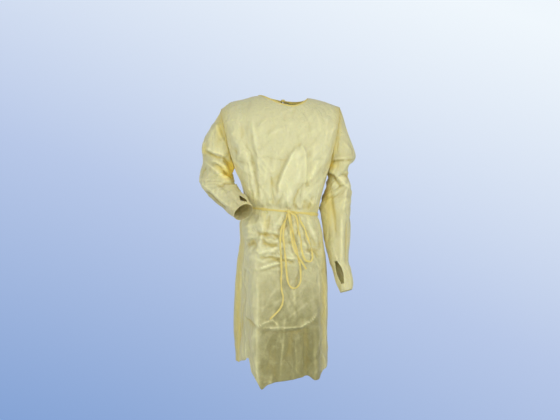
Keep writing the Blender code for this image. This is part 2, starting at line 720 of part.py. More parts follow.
# ---------------------------------------------------------------- pieces
def front_panel(finish):
    points = front_points()
    for side in ("first_column", "last_column", "first_row"):
        pull_in(points, side, SEAM_PULL)
    return cloth("front_panel", points, finish)


def back_panel(left, finish):
    points = back_points(left)
    for side in ("first_column", "first_row"):
        pull_in(points, side, SEAM_PULL)
    return cloth("back_panel_left" if left else "back_panel_right", points, finish)


def neck_edge():
    """The neck edge all round, from the right back's free edge to the left's."""
    front = front_points()[FRONT_COLUMNS[0] - 1 : sum(FRONT_COLUMNS[:2]) - 1, 0]
    right, left = (back_points(s)[BACK_COLUMNS[0] :, 0] for s in (False, True))
    return np.concatenate([right[::-1], front, left])


def neck_binding(finish):
    """The folded strip that binds the neck edge, open at the centre back."""
    edge = neck_edge()
    reach = KNOT_ENDS + SEAM_GAP * 2
    for end, sign in ((0, -1.0), (-1, 1.0)):
        edge[end, 0] = sign * reach
    ahead = unit(np.gradient(edge, axis=0))
    inward = unit(np.cross([0.0, 0.0, 1.0], ahead)) * BINDING_LEAN
    stand = unit(inward + np.array([0.0, 0.0, 1.0]))
    path = edge + stand * (BINDING_WIDTH / 2 + BINDING_CLEAR)
    facing = np.cross(ahead, stand)
    strip("neck_binding", path, facing, BINDING_WIDTH, BINDING_THICK, finish)
    return (path[0] + path[-1]) / 2


def waist_band(finish):
    """The tie where it is drawn round the waist, over every layer of cloth."""
    around = FRONT_COLUMNS[0] * 3
    rings = []
    for front in (True, False):
        share = even_shares(-1 if front else 1, 1 if front else -1, around, front)
        ring = body_surface(share, np.full_like(share, BELT_Z), front)[:-1]
        rings.append(ring)
    ring = np.concatenate(rings)
    ahead = unit(np.roll(ring, -1, axis=0) - np.roll(ring, 1, axis=0))
    outward = unit(np.cross(ahead, [0.0, 0.0, 1.0]))
    past = float(smooth_curve(BACK_LAP, 1, BELT_Z))
    layer = lap_layer(ring[:, 0], BELT_Z, True)
    layer *= ease((ring[:, 0] + past + 0.05) / 0.05) * (ring[:, 1] > 0)
    path = ring + outward * (TIE_OFF + layer)[:, None]
    up = np.cross(outward, ahead)
    corners = []
    for w, t in ((-0.5, -0.5), (0.5, -0.5), (0.5, 0.5), (-0.5, 0.5)):
        corners.append(path - up * w * TIE_WIDTH + outward * t * TIE_THICK)
    points = np.stack(corners, axis=1).reshape(-1, 3)
    count = len(path)
    faces = [
        (i * 4 + c, k * 4 + c, k * 4 + (c + 1) % 4, i * 4 + (c + 1) % 4)
        for i, k in zip(range(count), [*range(1, count), 0])
        for c in range(4)
    ]
    return new_object("waist_tie_band", points, faces, finish)


def tape(name, route, face, finish):
    """A free length of tie lying on the cloth along a route of the tables."""
    route = np.array(route)
    run = np.append(0, np.cumsum(np.hypot(*np.diff(route[:, :2], axis=0).T)))
    table = np.column_stack([run, route])
    at = np.linspace(0, run[-1], int(run[-1] / TAPE_STEP) + 2)
    x, z, off = (smooth_curve(table, column, at) for column in (1, 2, 3))
    points, facing = face(x, z)
    path = points + facing * off[:, None]
    return strip(name, path, facing, TIE_WIDTH, TIE_THICK, finish)


def armhole_ring(left):
    """The armhole's points: shoulder, down the front edge, underarm, up the back."""
    edge = np.array([1.0 if left else -1.0])
    rings = []
    for front in (True, False):
        z = row_heights(edge, front)[:, : YOKE_ROWS + 1]
        rings.append(body_surface(np.repeat(edge[:, None], YOKE_ROWS + 1, 1), z, front)[0])
    down, up = rings[0], rings[1][::-1]
    return np.concatenate([down, up[1:-1]])


def ring_shape(armhole, half_thickness, blend):
    """Shares across and front-to-back of a ring's points: armhole to flattened oval."""
    outer, inner = armhole[0], armhole[SLEEVE_COLUMNS // 2]
    middle, across = (outer + inner) / 2, (outer - inner) / 2
    sewn_across = (armhole - middle) @ across / (across @ across)
    sewn_front = -(armhole[:, 1] - middle[1]) / half_thickness
    turn = np.linspace(0, 2 * math.pi, SLEEVE_COLUMNS, endpoint=False)
    power = 2 / 2.2
    oval_across = np.sign(np.cos(turn)) * np.abs(np.cos(turn)) ** power
    oval_front = np.sign(np.sin(turn)) * np.abs(np.sin(turn)) ** power
    return (
        sewn_across * (1 - blend) + oval_across * blend,
        sewn_front * (1 - blend) + oval_front * blend,
    )


def ring_front(across, ahead):
    """The way a section's front faces: square to the arm where the section is."""
    plain = unit(np.array([0.0, -1.0, 0.0]) + across[1] * across)
    square = np.cross(across, ahead)
    share = np.linalg.norm(square) ** 4
    square = unit(square) * (-1 if square[1] > 0 else 1)
    return unit(square * share + plain * (1 - share))


def body_side(y, z, left):
    """How far out the body reaches beside a point at depth y and height z."""
    column = 2 if left else 1
    sign = 1.0 if left else -1.0
    tilt = BELT_TILT * np.exp(-(((z - BELT_Z) / BELT_REACH) ** 2))
    level = z - tilt * sign * 0.16
    half = smooth_curve(SECTIONS, column, level)
    middle = np.where(y < 0, *(smooth_curve(SECTIONS, c, level) for c in (3, 4)))
    edge = np.where(y < 0, *(smooth_curve(SECTIONS, c, level) for c in (5, 6)))
    bulge = np.clip((np.abs(y) - edge) / (middle - edge), 0, 1) ** (SQUARENESS / 2)
    return half * (1 - bulge**2) ** (1 / SQUARENESS)


def sleeve_points(left):
    """A sleeve's grid: outer line first, then its front, inner line and back."""
    table = np.array(SLEEVE_LEFT if left else SLEEVE_RIGHT)
    folds = SLEEVE_LEFT_FOLDS if left else SLEEVE_RIGHT_FOLDS
    armhole = armhole_ring(left)
    outward = np.array([ARMHOLE_STEP if left else -ARMHOLE_STEP, 0.0, 0.0])
    outer, inner = table[:, 0:3], table[:, 3:6]
    middles = np.vstack([armhole.mean(axis=0), (outer + inner) / 2])
    ahead = unit(np.gradient(middles, axis=0))[1:]
    rings = [armhole + outward]
    for k, row in enumerate(table):
        middle, across = (outer[k] + inner[k]) / 2, (outer[k] - inner[k]) / 2
        front = ring_front(unit(across), ahead[k])
        wide, deep = ring_shape(armhole, table[0, 6], row[7])
        rings.append(middle + wide[:, None] * across + deep[:, None] * front * row[6])
    points = np.stack(rings, axis=1)
    centre = points.mean(axis=0, keepdims=True)
    number = np.arange(points.shape[1])[None, :]
    degrees = np.arange(SLEEVE_COLUMNS)[:, None] * 360.0 / SLEEVE_COLUMNS
    lift = np.zeros(points.shape[:2])
    for at, middle, spread, climb, half_width, height in folds:
        turn = (degrees - middle + 180) % 360 - 180
        off = number - at - climb * turn / 360
        lift += height * np.exp(-((turn / spread) ** 2) - (off / half_width) ** 2)
    lift *= ease((number - 0.5) / 1.5)
    room = np.linalg.norm(np.gradient(points, axis=1), axis=-1)
    lift /= 1 + np.abs(lift) / (0.8 * room)
    points = points + unit(points - centre) * lift[..., None]
    clear = np.minimum(number * SLEEVE_CLEAR_STEP, SLEEVE_CLEAR)
    least = body_side(points[..., 1], points[..., 2], left) + clear
    sign = 1.0 if left else -1.0
    outside = np.maximum(sign * points[:, 1:, 0], least[:, 1:])
    points[:, 1:, 0] = sign * outside
    return points


def thumb_opening(points, opening):
    """Cells to leave open for the thumb; their rim is drawn into an even oval."""
    first, last, direction = opening
    rows = points.shape[1]
    column = int(round(direction / 360 * SLEEVE_COLUMNS))
    start, stop = int(round(first)), min(int(round(last)), rows - 2)
    dropped = {
        (c % SLEEVE_COLUMNS, j)
        for c in (column - 1, column)
        for j in range(start, stop)
    }
    middle = (start + stop) / 2
    for j in range(start, stop + 1):
        share = abs(j - middle) / ((stop - start) / 2)
        half = THUMB_HALF_WIDTH * math.sqrt(max(0.0, 1 - (0.9 * share) ** 2))
        spine = points[column, j].copy()
        for c in (column - 1, column + 1):
            away = points[c % SLEEVE_COLUMNS, j] - spine
            points[c % SLEEVE_COLUMNS, j] = spine + unit(away) * half
    return dropped


def sleeve(left, finish):
    """A sleeve; the right one, bent hard at the elbow, is two solids that meet there."""
    points = sleeve_points(left)
    dropped = thumb_opening(points, THUMB_LEFT if left else THUMB_RIGHT)
    if left:
        cloth("sleeve_left", points, finish, closed=True, dropped=dropped)
        return
    dropped = {((SLEEVE_COLUMNS - 2 - i) % SLEEVE_COLUMNS, j) for i, j in dropped}
    points = points[::-1]
    upper, lower = points[:, : ELBOW_RING + 1].copy(), points[:, ELBOW_RING:].copy()
    upper[:, -1] += unit(upper[:, -2] - upper[:, -1]) * ELBOW_PULL
    lower[:, 0] += unit(lower[:, 1] - lower[:, 0]) * ELBOW_PULL
    below = {(i, j - ELBOW_RING) for i, j in dropped}
    cloth("sleeve_right_upper", upper, finish, closed=True)
    cloth("sleeve_right_lower", lower, finish, closed=True, dropped=below)


def main():
    for old in list(bpy.data.objects):
        bpy.data.objects.remove(old)
    cloth_finish = material("yellow_nonwoven", YELLOW_CLOTH, 0.62)
    tape_finish = material("yellow_tape", YELLOW_TAPE, 0.55)
    front_panel(cloth_finish)
    for left in (True, False):
        back_panel(left, cloth_finish)
        sleeve(left, cloth_finish)
    nape = neck_binding(tape_finish)
    knot("neck_tie_knot", nape, NAPE_KNOT_SIZE, tape_finish)
    tape("neck_tie_end_left", NECK_END_LEFT, back_face, tape_finish)
    tape("neck_tie_end_right", NECK_END_RIGHT, back_face, tape_finish)
    waist_band(tape_finish)
    belt = BELT_Z + BELT_TILT * KNOT_X
    point, facing = front_face([KNOT_X], [belt])
    stand = TIE_OFF + TIE_THICK / 2 + SEAM_GAP + KNOT_SIZE[1]
    knot("waist_tie_knot", (point + facing * stand)[0], KNOT_SIZE, tape_finish)
    tape("waist_tie_end_long", TIE_END_LONG, front_face, tape_finish)
    tape("waist_tie_end_short", TIE_END_SHORT, front_face, tape_finish)
    tape("waist_tie_loop_long", LOOP_LONG, front_face, tape_finish)
    tape("waist_tie_loop_short", LOOP_SHORT, front_face, tape_finish)


main()
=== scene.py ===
"""Looks of the protective gown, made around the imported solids.

Thin creased cloth stands on each solid's form, its seams turned in and drawn up a
little, with a bound neck, and stitched ties knotted at the nape and in a bow at the
front. Metres, +Z up; the front faces -Y and the wearer's left arm is on +X.
"""

import math

import bpy
import numpy as np
from mathutils import Matrix

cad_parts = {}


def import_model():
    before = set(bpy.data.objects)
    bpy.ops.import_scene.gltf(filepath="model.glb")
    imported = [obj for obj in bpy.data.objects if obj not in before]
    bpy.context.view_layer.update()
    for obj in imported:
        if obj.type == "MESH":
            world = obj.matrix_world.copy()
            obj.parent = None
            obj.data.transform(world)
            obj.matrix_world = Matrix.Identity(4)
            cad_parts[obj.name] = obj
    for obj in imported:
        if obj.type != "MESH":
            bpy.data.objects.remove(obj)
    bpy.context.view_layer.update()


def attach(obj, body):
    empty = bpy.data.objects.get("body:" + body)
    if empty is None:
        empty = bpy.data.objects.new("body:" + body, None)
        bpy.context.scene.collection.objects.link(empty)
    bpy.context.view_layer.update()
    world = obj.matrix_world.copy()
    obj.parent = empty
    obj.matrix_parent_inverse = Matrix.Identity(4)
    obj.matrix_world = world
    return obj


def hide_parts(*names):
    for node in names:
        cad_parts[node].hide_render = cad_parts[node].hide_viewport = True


def metres(*rows, plain=()):
    """A table in metres from rows in millimetres. Its plain columns, such as angles
    and counts, stay as they are."""
    return tuple(
        tuple(
            metres(value)[0] if isinstance(value, tuple)
            else value if column in plain else value / 1000
            for column, value in enumerate(row)
        )
        for row in rows
    )


# ---------------------------------------------------------------- driving sizes
SHEET = 0.00045          # thickness of the nonwoven cloth that shows
BELT_Z = -0.434          # height of the waist tie on the centre line
BELT_TILT = -0.10        # slant of the tie, its height over x
BELT_REACH = 0.22        # the slant fades over this height
UNDERARM_Z = -0.285
HEM_Z = -1.045
SKIRT_Z = -0.60          # the panels' columns are evenly spaced at this height
SHOULDER_Z = -0.03       # a height at the shoulder seams to work from
NECK_HALF = 0.100
NECK_DROP_FRONT = 0.055
NECK_DROP_BACK = 0.018
SHOULDER_ROUND = 0.150
SQUARENESS = 2.5         # a body section between an oval, 2, and a box
SLEEVE_SQUARENESS = 2.2
ARMHOLE_STEP = 0.0015
SLEEVE_CLEAR_STEP = 0.004    # a sleeve's rings stand off the body by this for each
SLEEVE_CLEAR = 0.004         # ring from the armhole, up to this
SEAM_PULL = 0.0004       # a sewn edge is drawn in by this

# Columns and rows of the fine cloth grids.
GRID_STEP = 0.004        # about how far apart they are
FRONT_COLUMNS = (40, 57, 40)
BACK_COLUMNS = (40, 45)
YOKE_ROWS, BODICE_ROWS, SKIRT_ROWS = 68, 38, 156
ARMHOLE_ROWS = 9         # rows of the coarse armhole that the sleeves start from
SLEEVE_COLUMNS = 2 * ARMHOLE_ROWS
SLEEVE_FINER = (6, 8)    # fine columns and rows to each coarse one of a sleeve

# ---------------------------------------------------------------- tables
SECTIONS = metres(
    # z, right_x, left_x, front_y, back_y, arm_front_y, arm_back_y
    (0, 226, 213, 128, 118, 60, 60),
    (-60, 232, 212, 132, 122, 70, 70),
    (-110, 222, 205, 134, 126, 76, 76),
    (-160, 210, 195, 135, 128, 74, 74),
    (-210, 200, 184, 136, 128, 62, 62),
    (-250, 191, 174, 136, 127, 40, 40),
    (-285, 182, 167, 136, 126, 0, 0),
    (-340, 158, 151, 137, 126, 0, 0),
    (-385, 146, 140, 138, 127, 0, 0),
    (-410, 142, 136, 131, 123, 0, 0),
    (-427, 137, 131, 117, 113, 0, 0),
    (-441, 137, 131, 117, 113, 0, 0),
    (-460, 143, 138, 125, 121, 0, 0),
    (-500, 156, 148, 132, 131, 0, 0),
    (-560, 154, 156, 138, 140, 0, 0),
    (-640, 161, 164, 143, 148, 0, 0),
    (-760, 167, 167, 147, 155, 0, 0),
    (-900, 171, 166, 150, 160, 0, 0),
    (-1045, 170, 168, 152, 163, 0, 0),
)
# The line of the two shoulder seams and of the neck between them.
SHOULDER_LINE = metres(
    # x, z
    (-240, -56), (-222, -40), (-195, -21), (-150, -11), (-100, 2), (0, 6), (100, -6),
    (156, -19), (190, -31), (216, -40),
)
# Hem height round the skirt. 0 is centre front, + towards the wearer's left.
HEM = metres(
    # degrees, z
    (-180, -1036), (-135, -1018), (-110, -1012), (-92, -1008), (-76, -992), (-58, -981),
    (-46, -968), (-41, -992), (-38, -1012), (-31, -1026), (-26, -1044), (-21, -1071),
    (-14, -1055), (0, -1043), (21, -1029), (28, -1026), (36, -1041), (46, -1040), (54, -1026),
    (64, -1014), (90, -1016), (135, -1032), (180, -1036),
    plain=(0,),
)
# How far each back panel reaches past the centre back: a little short of it at the
# tied neck, well over it at the hem.
BACK_LAP = metres(
    # z, past_centre
    (10, -10), (-60, -2), (-140, 30), (-300, 70), (-434, 85), (-700, 105), (-1045, 120),
)
LAP_SPREAD = 0.0042      # each lapped layer lies this far off the common surface
LAP_FADE = 0.060         # width over which a panel comes back to the common surface
LAP_START = 0.012        # where the backs are this near to meeting, they start to part
TIE_FADE = 0.05          # width over which the tie comes down off the outer lap

# Folds of the front, drawn as seen from the front. + is a ridge, - a trough.
FRONT_FOLDS = metres(
    # x0, z0, x1, z1, half_width, height
    (-175, -150, -95, -400, 20, 10),
    (-130, -150, -78, -385, 19, -7),
    (-118, -70, -92, -210, 15, 5),
    (-92, -210, -80, -400, 15, 7),
    (-20, -250, -35, -400, 30, -6),
    (68, -205, 20, -400, 24, 11),
    (88, -215, 86, -330, 14, -5),
    (105, -260, 68, -405, 15, -10),
    (148, -240, 92, -410, 16, 9),
    (192, -70, 160, -270, 16, 4),
    (-64, -455, -90, -590, 13, 5),
    (-108, -470, -118, -570, 14, -3),
    (30, -460, 40, -560, 16, -5),
    (90, -460, 128, -560, 13, 7),
    (70, -465, 55, -540, 12, 6),
    (-120, -590, 0, -565, 16, 5),
    (-95, -640, 10, -615, 15, 6),
    (0, -655, 125, -640, 16, -6),
    (-96, -640, -86, -1100, 26, 14),
    (-150, -560, -146, -1100, 28, -16),
    (-10, -760, -5, -1100, 45, -8),
    (80, -820, 84, -1100, 17, -13),
    (112, -780, 114, -1100, 18, 13),
    (150, -620, 148, -1100, 20, -6),
)
# Folds of the back, drawn as seen in plan from the front (same x).
BACK_FOLDS = metres(
    # x0, z0, x1, z1, half_width, height
    (-165, -130, -110, -395, 20, 9),
    (-120, -180, -80, -395, 18, -9),
    (-75, -200, -50, -400, 20, 7),
    (0, -230, 0, -400, 30, -6),
    (70, -190, 48, -400, 20, 8),
    (115, -170, 80, -395, 18, -9),
    (155, -140, 108, -395, 20, 9),
    (-100, -460, -118, -640, 16, 8),
    (-50, -460, -60, -620, 15, -7),
    (0, -460, -4, -660, 18, 8),
    (55, -460, 62, -620, 15, -7),
    (100, -460, 118, -650, 16, 8),
    (-168, -480, -178, -1100, 26, 22),
    (-110, -640, -118, -1100, 24, -14),
    (-58, -700, -62, -1100, 26, 11),
    (4, -720, 2, -1100, 24, -10),
    (70, -660, 76, -1100, 26, 13),
    (128, -600, 134, -1100, 22, -9),
    (162, -560, 164, -1100, 18, 7),
)
# Small gathers that the tie draws into the cloth: waves that fade away from it.
GATHER_WAVES = metres(
    # waves round the waist, phase in degrees, height
    (23, 20, 1.1),
    (31, 140, 0.8),
    (14, 65, 1.6),
    plain=(0, 1),
)
GATHER_REACH = 0.075     # the waves fade over this height
GATHER_CLEAR = 0.016     # and are pressed flat this near the tie
FOLD_CLEAR = 0.030       # the larger folds are pressed flat over this height
SIDE_SHARE = 0.10        # and fade over this share of a half beside the side seams
TOP_FADE = 0.05          # and over this height below a panel's top edge
PINCH_HALF = 0.0065      # the cloth is straight under the tie this far either way

# Sleeve sections, each from its outer to its inner point. The armhole comes first and
# is taken from the body; blend says how far a section has left the armhole's shape.
SLEEVE_LEFT = metres(
    # outer x, y, z, inner x, y, z, half_thickness, blend
    (224, 2, -66, 171.5, 0, -303, 72, 0.25),
    (241, 4, -120, 172.5, 2, -311, 74, 0.55),
    (258, 8, -172, 171, 4, -319, 73, 0.8),
    (273, 12, -216, 169, 6, -327, 70, 1.0),
    (272, 15, -238, 167, 8, -335, 67, 1.0),
    (254, 18, -256, 165, 10, -344, 63, 1.0),
    (247, 20, -285, 160, 13, -356, 60, 1.0),
    (251, 20, -312, 153, 15, -371, 60, 1.0),
    (259, 18, -336, 146, 16, -388, 60, 1.0),
    (260, 12, -375, 142, 14, -412, 58, 1.0),
    (259, 4, -420, 144, 5, -446, 56, 1.0),
    (256, -6, -468, 150, -8, -486, 53, 1.0),
    (253, -16, -514, 156, -20, -526, 49, 1.0),
    (249, -26, -556, 161, -34, -562, 45, 1.0),
    (244, -34, -596, 168, -42, -598, 40, 1.0),
    (243, -40, -626, 175.5, -48, -626, 37, 1.0),
    (250, -46, -650, 185, -54, -652, 36, 1.0),
    (257, -52, -674, 192.5, -60, -680, 35, 1.0),
    (260, -58, -700, 202, -66, -708, 33, 1.0),
    (256, -64, -724, 213, -72, -734, 30, 1.0),
    plain=(7,),
)
SLEEVE_RIGHT = metres(
    # outer x, y, z, inner x, y, z, half_thickness, blend
    (-240, 4, -62, -189, 1, -282, 74, 0.25),
    (-262, 10, -98, -191.5, 2, -287, 77, 0.55),
    (-292, 18, -146, -193.5, 2, -292, 75, 0.8),
    (-303, 28, -186, -195, 0, -297, 70, 1.0),
    (-302, 40, -216, -195.5, -4, -302, 64, 1.0),
    (-297, 50, -244, -195, -9, -307, 58, 1.0),
    (-305, 58, -268, -194.5, -16, -312.5, 54, 1.0),
    (-312, 60, -294, -193, -24, -318.5, 52, 1.0),
    (-312, 54, -320, -190, -34, -325, 52, 1.0),
    (-300, 36, -344, -184, -48, -333, 52, 1.0),
    (-281, 10, -366, -175, -67, -344, 51, 1.0),
    (-259, -20, -388, -165, -88, -356, 49, 1.0),
    (-236, -50, -408, -154, -110, -369, 46, 1.0),
    (-215, -80, -424, -143, -131, -377, 42, 1.0),
    (-198, -108, -438, -133, -151, -387, 39, 1.0),
    (-185, -131, -448, -127, -168, -395, 37, 1.0),
    (-173, -151, -456, -121, -184, -403, 34, 1.0),
    (-163, -170, -464, -117, -198, -412, 30, 1.0),
    plain=(7,),
)
# Sleeve folds: where along the sleeve (section number), round it (degrees, 0 outer,
# 90 front, 180 inner), how far it climbs per turn, and its size.
SLEEVE_LEFT_FOLDS = metres(
    # section, degrees, spread, climb, half_width, height
    (5.6, 70, 80, 0.6, 0.6, -7),
    (7.6, 95, 70, -3.0, 0.7, 6),
    (8.8, 120, 60, -3.0, 0.7, -7),
    (6.0, 270, 80, 0.5, 0.7, -6),
    (8.6, 270, 70, 1.5, 0.8, -5),
    (2.0, 75, 50, 1.0, 0.8, -3),
    (12.5, 135, 40, 8.0, 0.9, -3),
    plain=(0, 1, 2, 3, 4),
)
SLEEVE_RIGHT_FOLDS = metres(
    # section, degrees, spread, climb, half_width, height
    (2.2, 110, 50, 6.0, 0.8, -6),
    (5.4, 90, 90, 2.2, 0.6, -4.5),
    (6.6, 120, 60, 1.5, 0.6, 6),
    (7.8, 125, 60, 1.5, 0.7, -4.5),
    (6.0, 250, 70, 1.0, 0.7, -6),
    (11.5, 300, 60, 2.0, 0.9, -4),
    plain=(0, 1, 2, 3, 4),
)
# The thumb opening of each sleeve: first and last section, and its middle direction.
THUMB_LEFT = (16.0, 19.2, 130)
THUMB_RIGHT = (14.4, 17.0, 160)
THUMB_HALF_WIDTH = 0.012

# Waist tie, neck binding and their knots.
TIE_THICK = 0.0016
TIE_OFF = 0.0022         # middle of the tie off the middle of the cloth
BINDING_WIDTH = 0.0070
BINDING_THICK = 0.0028
BINDING_LEAN = 0.8       # how much it leans in over the neck, against standing up
BINDING_CLEAR = 0.0009   # and how far it stands off the neck edge
KNOT_X = 0.0190          # the bow's knot, on the front of the tie
KNOT_SIZE = (0.0085, 0.0055, 0.0075)
NAPE_KNOT_SIZE = (0.0080, 0.0050, 0.0065)
KNOT_CLEAR = 0.0003      # the knot stands off the tie by this
KNOT_TURN = (0.0062, 0.0016, 0.0022)     # width, thickness and lean of its last turn
KNOT_ENDS = 0.0083       # where the binding stops beside the nape knot
KNOT_GAP = 0.0006        # and this much before it, the strip turns in to the knot
NAPE_STEP = np.array((0.002, 0.0, 0.0))  # where it ends, from the knot's middle
NAPE_LOW = np.array((0.0, 0.002, -0.002))    # where the neck ends leave the knot

# Routes of the bow and of the ends, as seen from the front: x, z and how far the tape
# stands off the cloth.
TIE_END_LONG = metres(
    (16, -442.2, 5.8), (14.5, -454, 5.2), (2, -478, 4.6), (-9, -514, 4.4), (-10, -558, 4.3),
    (-7, -606, 4.3), (-6, -652, 4.3), (-7, -686, 4.3), (-5, -716, 4.3), (1, -742, 4.3),
    (-2, -766, 4.3), (-15, -789, 4.3), (-32, -806, 4.4), (-48, -822, 4.6),
)
TIE_END_SHORT = metres(
    (18.5, -442.2, 12.2), (18.8, -454, 12.6), (20.5, -480, 13), (24.5, -520, 13),
    (30, -548, 13), (40, -576, 13.5), (54, -601, 13), (68, -622, 12), (80, -639, 11.5),
)
LOOP_LONG = metres(
    (15, -443, 9), (13.2, -455, 8.8), (4, -480, 8.5), (0, -516, 8.2), (3, -556, 8),
    (8, -600, 7.8), (11, -644, 7.6), (15, -678, 7.6), (24, -702, 7.6), (38, -711, 7.6),
    (53, -702, 7.6), (62, -678, 7.6), (61, -644, 7.8), (52, -596, 8), (43, -550, 8.2),
    (33, -506, 8.5), (26.2, -470, 9), (24, -456, 9), (23.8, -443.3, 8.8),
)
LOOP_SHORT = metres(
    (28.1, -436.2, 8.8), (42, -436.6, 10.5), (52, -450, 12), (60, -472, 12), (74, -506, 12),
    (88, -542, 12), (98, -578, 12), (101, -602, 12), (93, -617, 12.5), (79, -613, 13),
    (68, -593, 13.5), (62, -562, 14), (59, -524, 15), (56, -486, 16), (48, -460, 17),
    (33, -445, 15),
)
NECK_END_LEFT = metres(
    (4.6, -8, 4.2), (6, -24, 4.4), (10, -48, 4.2), (15, -90, 4), (16, -130, 4), (22, -175, 4.2),
)
NECK_END_RIGHT = metres(
    (-4.4, -8, 4.2), (-7, -24, 4.4), (-12, -48, 4.2), (-15, -85, 4), (-24, -120, 4),
    (-28, -150, 4.2),
)

# Creases of the front as seen from the front: height, width to the left and to the
# right of the way the line runs, then its corners as x, z. + is a ridge, - a trough.
FRONT_CREASES = metres(
    (3.6, 22, 9, (-113, -85), (-106, -145), (-102, -175), (-88, -247), (-88, -330), (-80, -428)),
    (-4.2, 18, 12, (-165, -86), (-154, -123), (-143, -190), (-116, -222), (-95, -353), (-76, -428)),
    (3.6, 10, 20, (-150, -120), (-134, -215), (-114, -285), (-104, -370), (-94, -428)),
    (-3, 8, 14, (-128, -245), (-118, -330), (-98, -420)),
    (1.8, 8, 6, (-86, -128), (-50, -94)),
    (-2, 5, 12, (-90, -243), (-58, -237), (-20, -246), (14, -251)),
    (1.4, 4, 10, (20, -253), (30, -249), (40, -240)),
    (-1.6, 6, 9, (-163, -257), (-147, -254), (-118, -262)),
    (-1.8, 6, 9, (108, -250), (132, -243), (162, -246)),
    (5.4, 34, 10, (62, -196), (46, -213), (33, -234), (6, -290), (-12, -340), (-16, -400)),
    (4.6, 9, 26, (60, -196), (73, -206), (79, -228), (78, -270), (76, -324), (72, -350)),
    (-3.4, 8, 20, (26, -222), (6, -262), (-14, -310), (-26, -370)),
    (4.8, 10, 22, (131, -242), (114, -289), (96, -328), (85, -372)),
    (-4.4, 14, 7, (108, -318), (85, -330), (71, -336), (57, -357), (42, -387), (30, -431)),
    (3.4, 5, 14, (79, -380), (61, -431)),
    (-3.8, 5, 10, (114, -376), (100, -405), (91, -437)),
    (3.2, 18, 5, (16, -348), (16, -400), (18, -439)),
    (-3, 14, 8, (-45, -290), (-38, -370), (-40, -428)),
    (2.6, 10, 14, (150, -290), (126, -360), (112, -425)),
    (2.2, 8, 16, (165, -80), (158, -150), (150, -225)),
    (1.8, 14, 8, (106, -55), (126, -100), (135, -160)),
    (-1.6, 8, 12, (70, -60), (96, -120), (104, -190)),
    (5.2, 8, 10, (-60, -437), (-70, -490), (-77, -534), (-86, -570)),
    (-3.6, 7, 7, (-46, -440), (-55, -490), (-62, -525)),
    (5, 7, 10, (84, -445), (98, -490), (117, -526)),
    (4, 7, 9, (79, -448), (58, -477), (50, -505)),
    (-4, 6, 7, (84, -450), (86, -490), (94, -524)),
    (3, 8, 8, (0, -440), (-14, -470), (-34, -498)),
    (-2.8, 8, 6, (44, -446), (48, -490), (50, -530)),
    (4.4, 5, 9, (-72, -507), (-45, -504), (-18, -512)),
    (-4.8, 6, 5, (-74, -520), (-45, -518), (-16, -526)),
    (4.8, 5, 9, (-74, -533), (-42, -534), (-10, -545)),
    (-4.8, 6, 5, (-80, -550), (-45, -553), (-12, -559)),
    (2, 9, 5, (-138, -537), (-112, -531), (-92, -530)),
    (-2, 6, 9, (-138, -556), (-110, -548), (-90, -552)),
    (4.8, 5, 10, (-93, -586), (-62, -575), (-34, -571)),
    (-6, 9, 5, (-92, -604), (-52, -601), (-18, -606), (12, -613), (55, -618)),
    (5.2, 6, 9, (-74, -592), (-36, -591), (4, -600), (44, -604)),
    (4.4, 5, 14, (-94, -640), (-61, -630), (-26, -618), (6, -622)),
    (-4.2, 10, 6, (-90, -654), (-58, -645), (-20, -633)),
    (-3.6, 6, 8, (50, -568), (95, -571), (114, -580), (142, -602)),
    (3.4, 6, 10, (56, -582), (92, -586), (118, -606)),
    (2.2, 6, 10, (-90, -660), (-89, -780), (-90, -855)),
    (2, 8, 16, (-90, -840), (-91, -960), (-90, -1075)),
    (-2.6, 6, 10, (-138, -633), (-140, -740), (-138, -830)),
    (3, 6, 12, (-134, -850), (-132, -930), (-128, -1000)),
    (-4, 4, 12, (-142, -822), (-114, -836), (-90, -849)),
    (6, 6, 4, (-96, -852), (-68, -835), (-38, -825), (-24, -838), (-12, -848)),
    (6, 7, 4, (-90, -852), (-20, -853), (61, -850), (100, -832), (134, -790)),
    (-3, 4, 8, (-80, -864), (-10, -866), (60, -864), (96, -852)),
    (3, 6, 6, (-76, -1047), (-52, -1040), (-33, -1050)),
    (4, 10, 7, (112, -850), (114, -960), (116, -1045)),
    (-4.2, 9, 10, (82, -880), (84, -960), (82, -1040)),
    (3, 10, 8, (40, -880), (46, -970), (44, -1035)),
    (-2.6, 10, 10, (-30, -880), (-28, -980), (-32, -1045)),
    (2.2, 7, 12, (128, -620), (132, -720), (131, -800)),
)
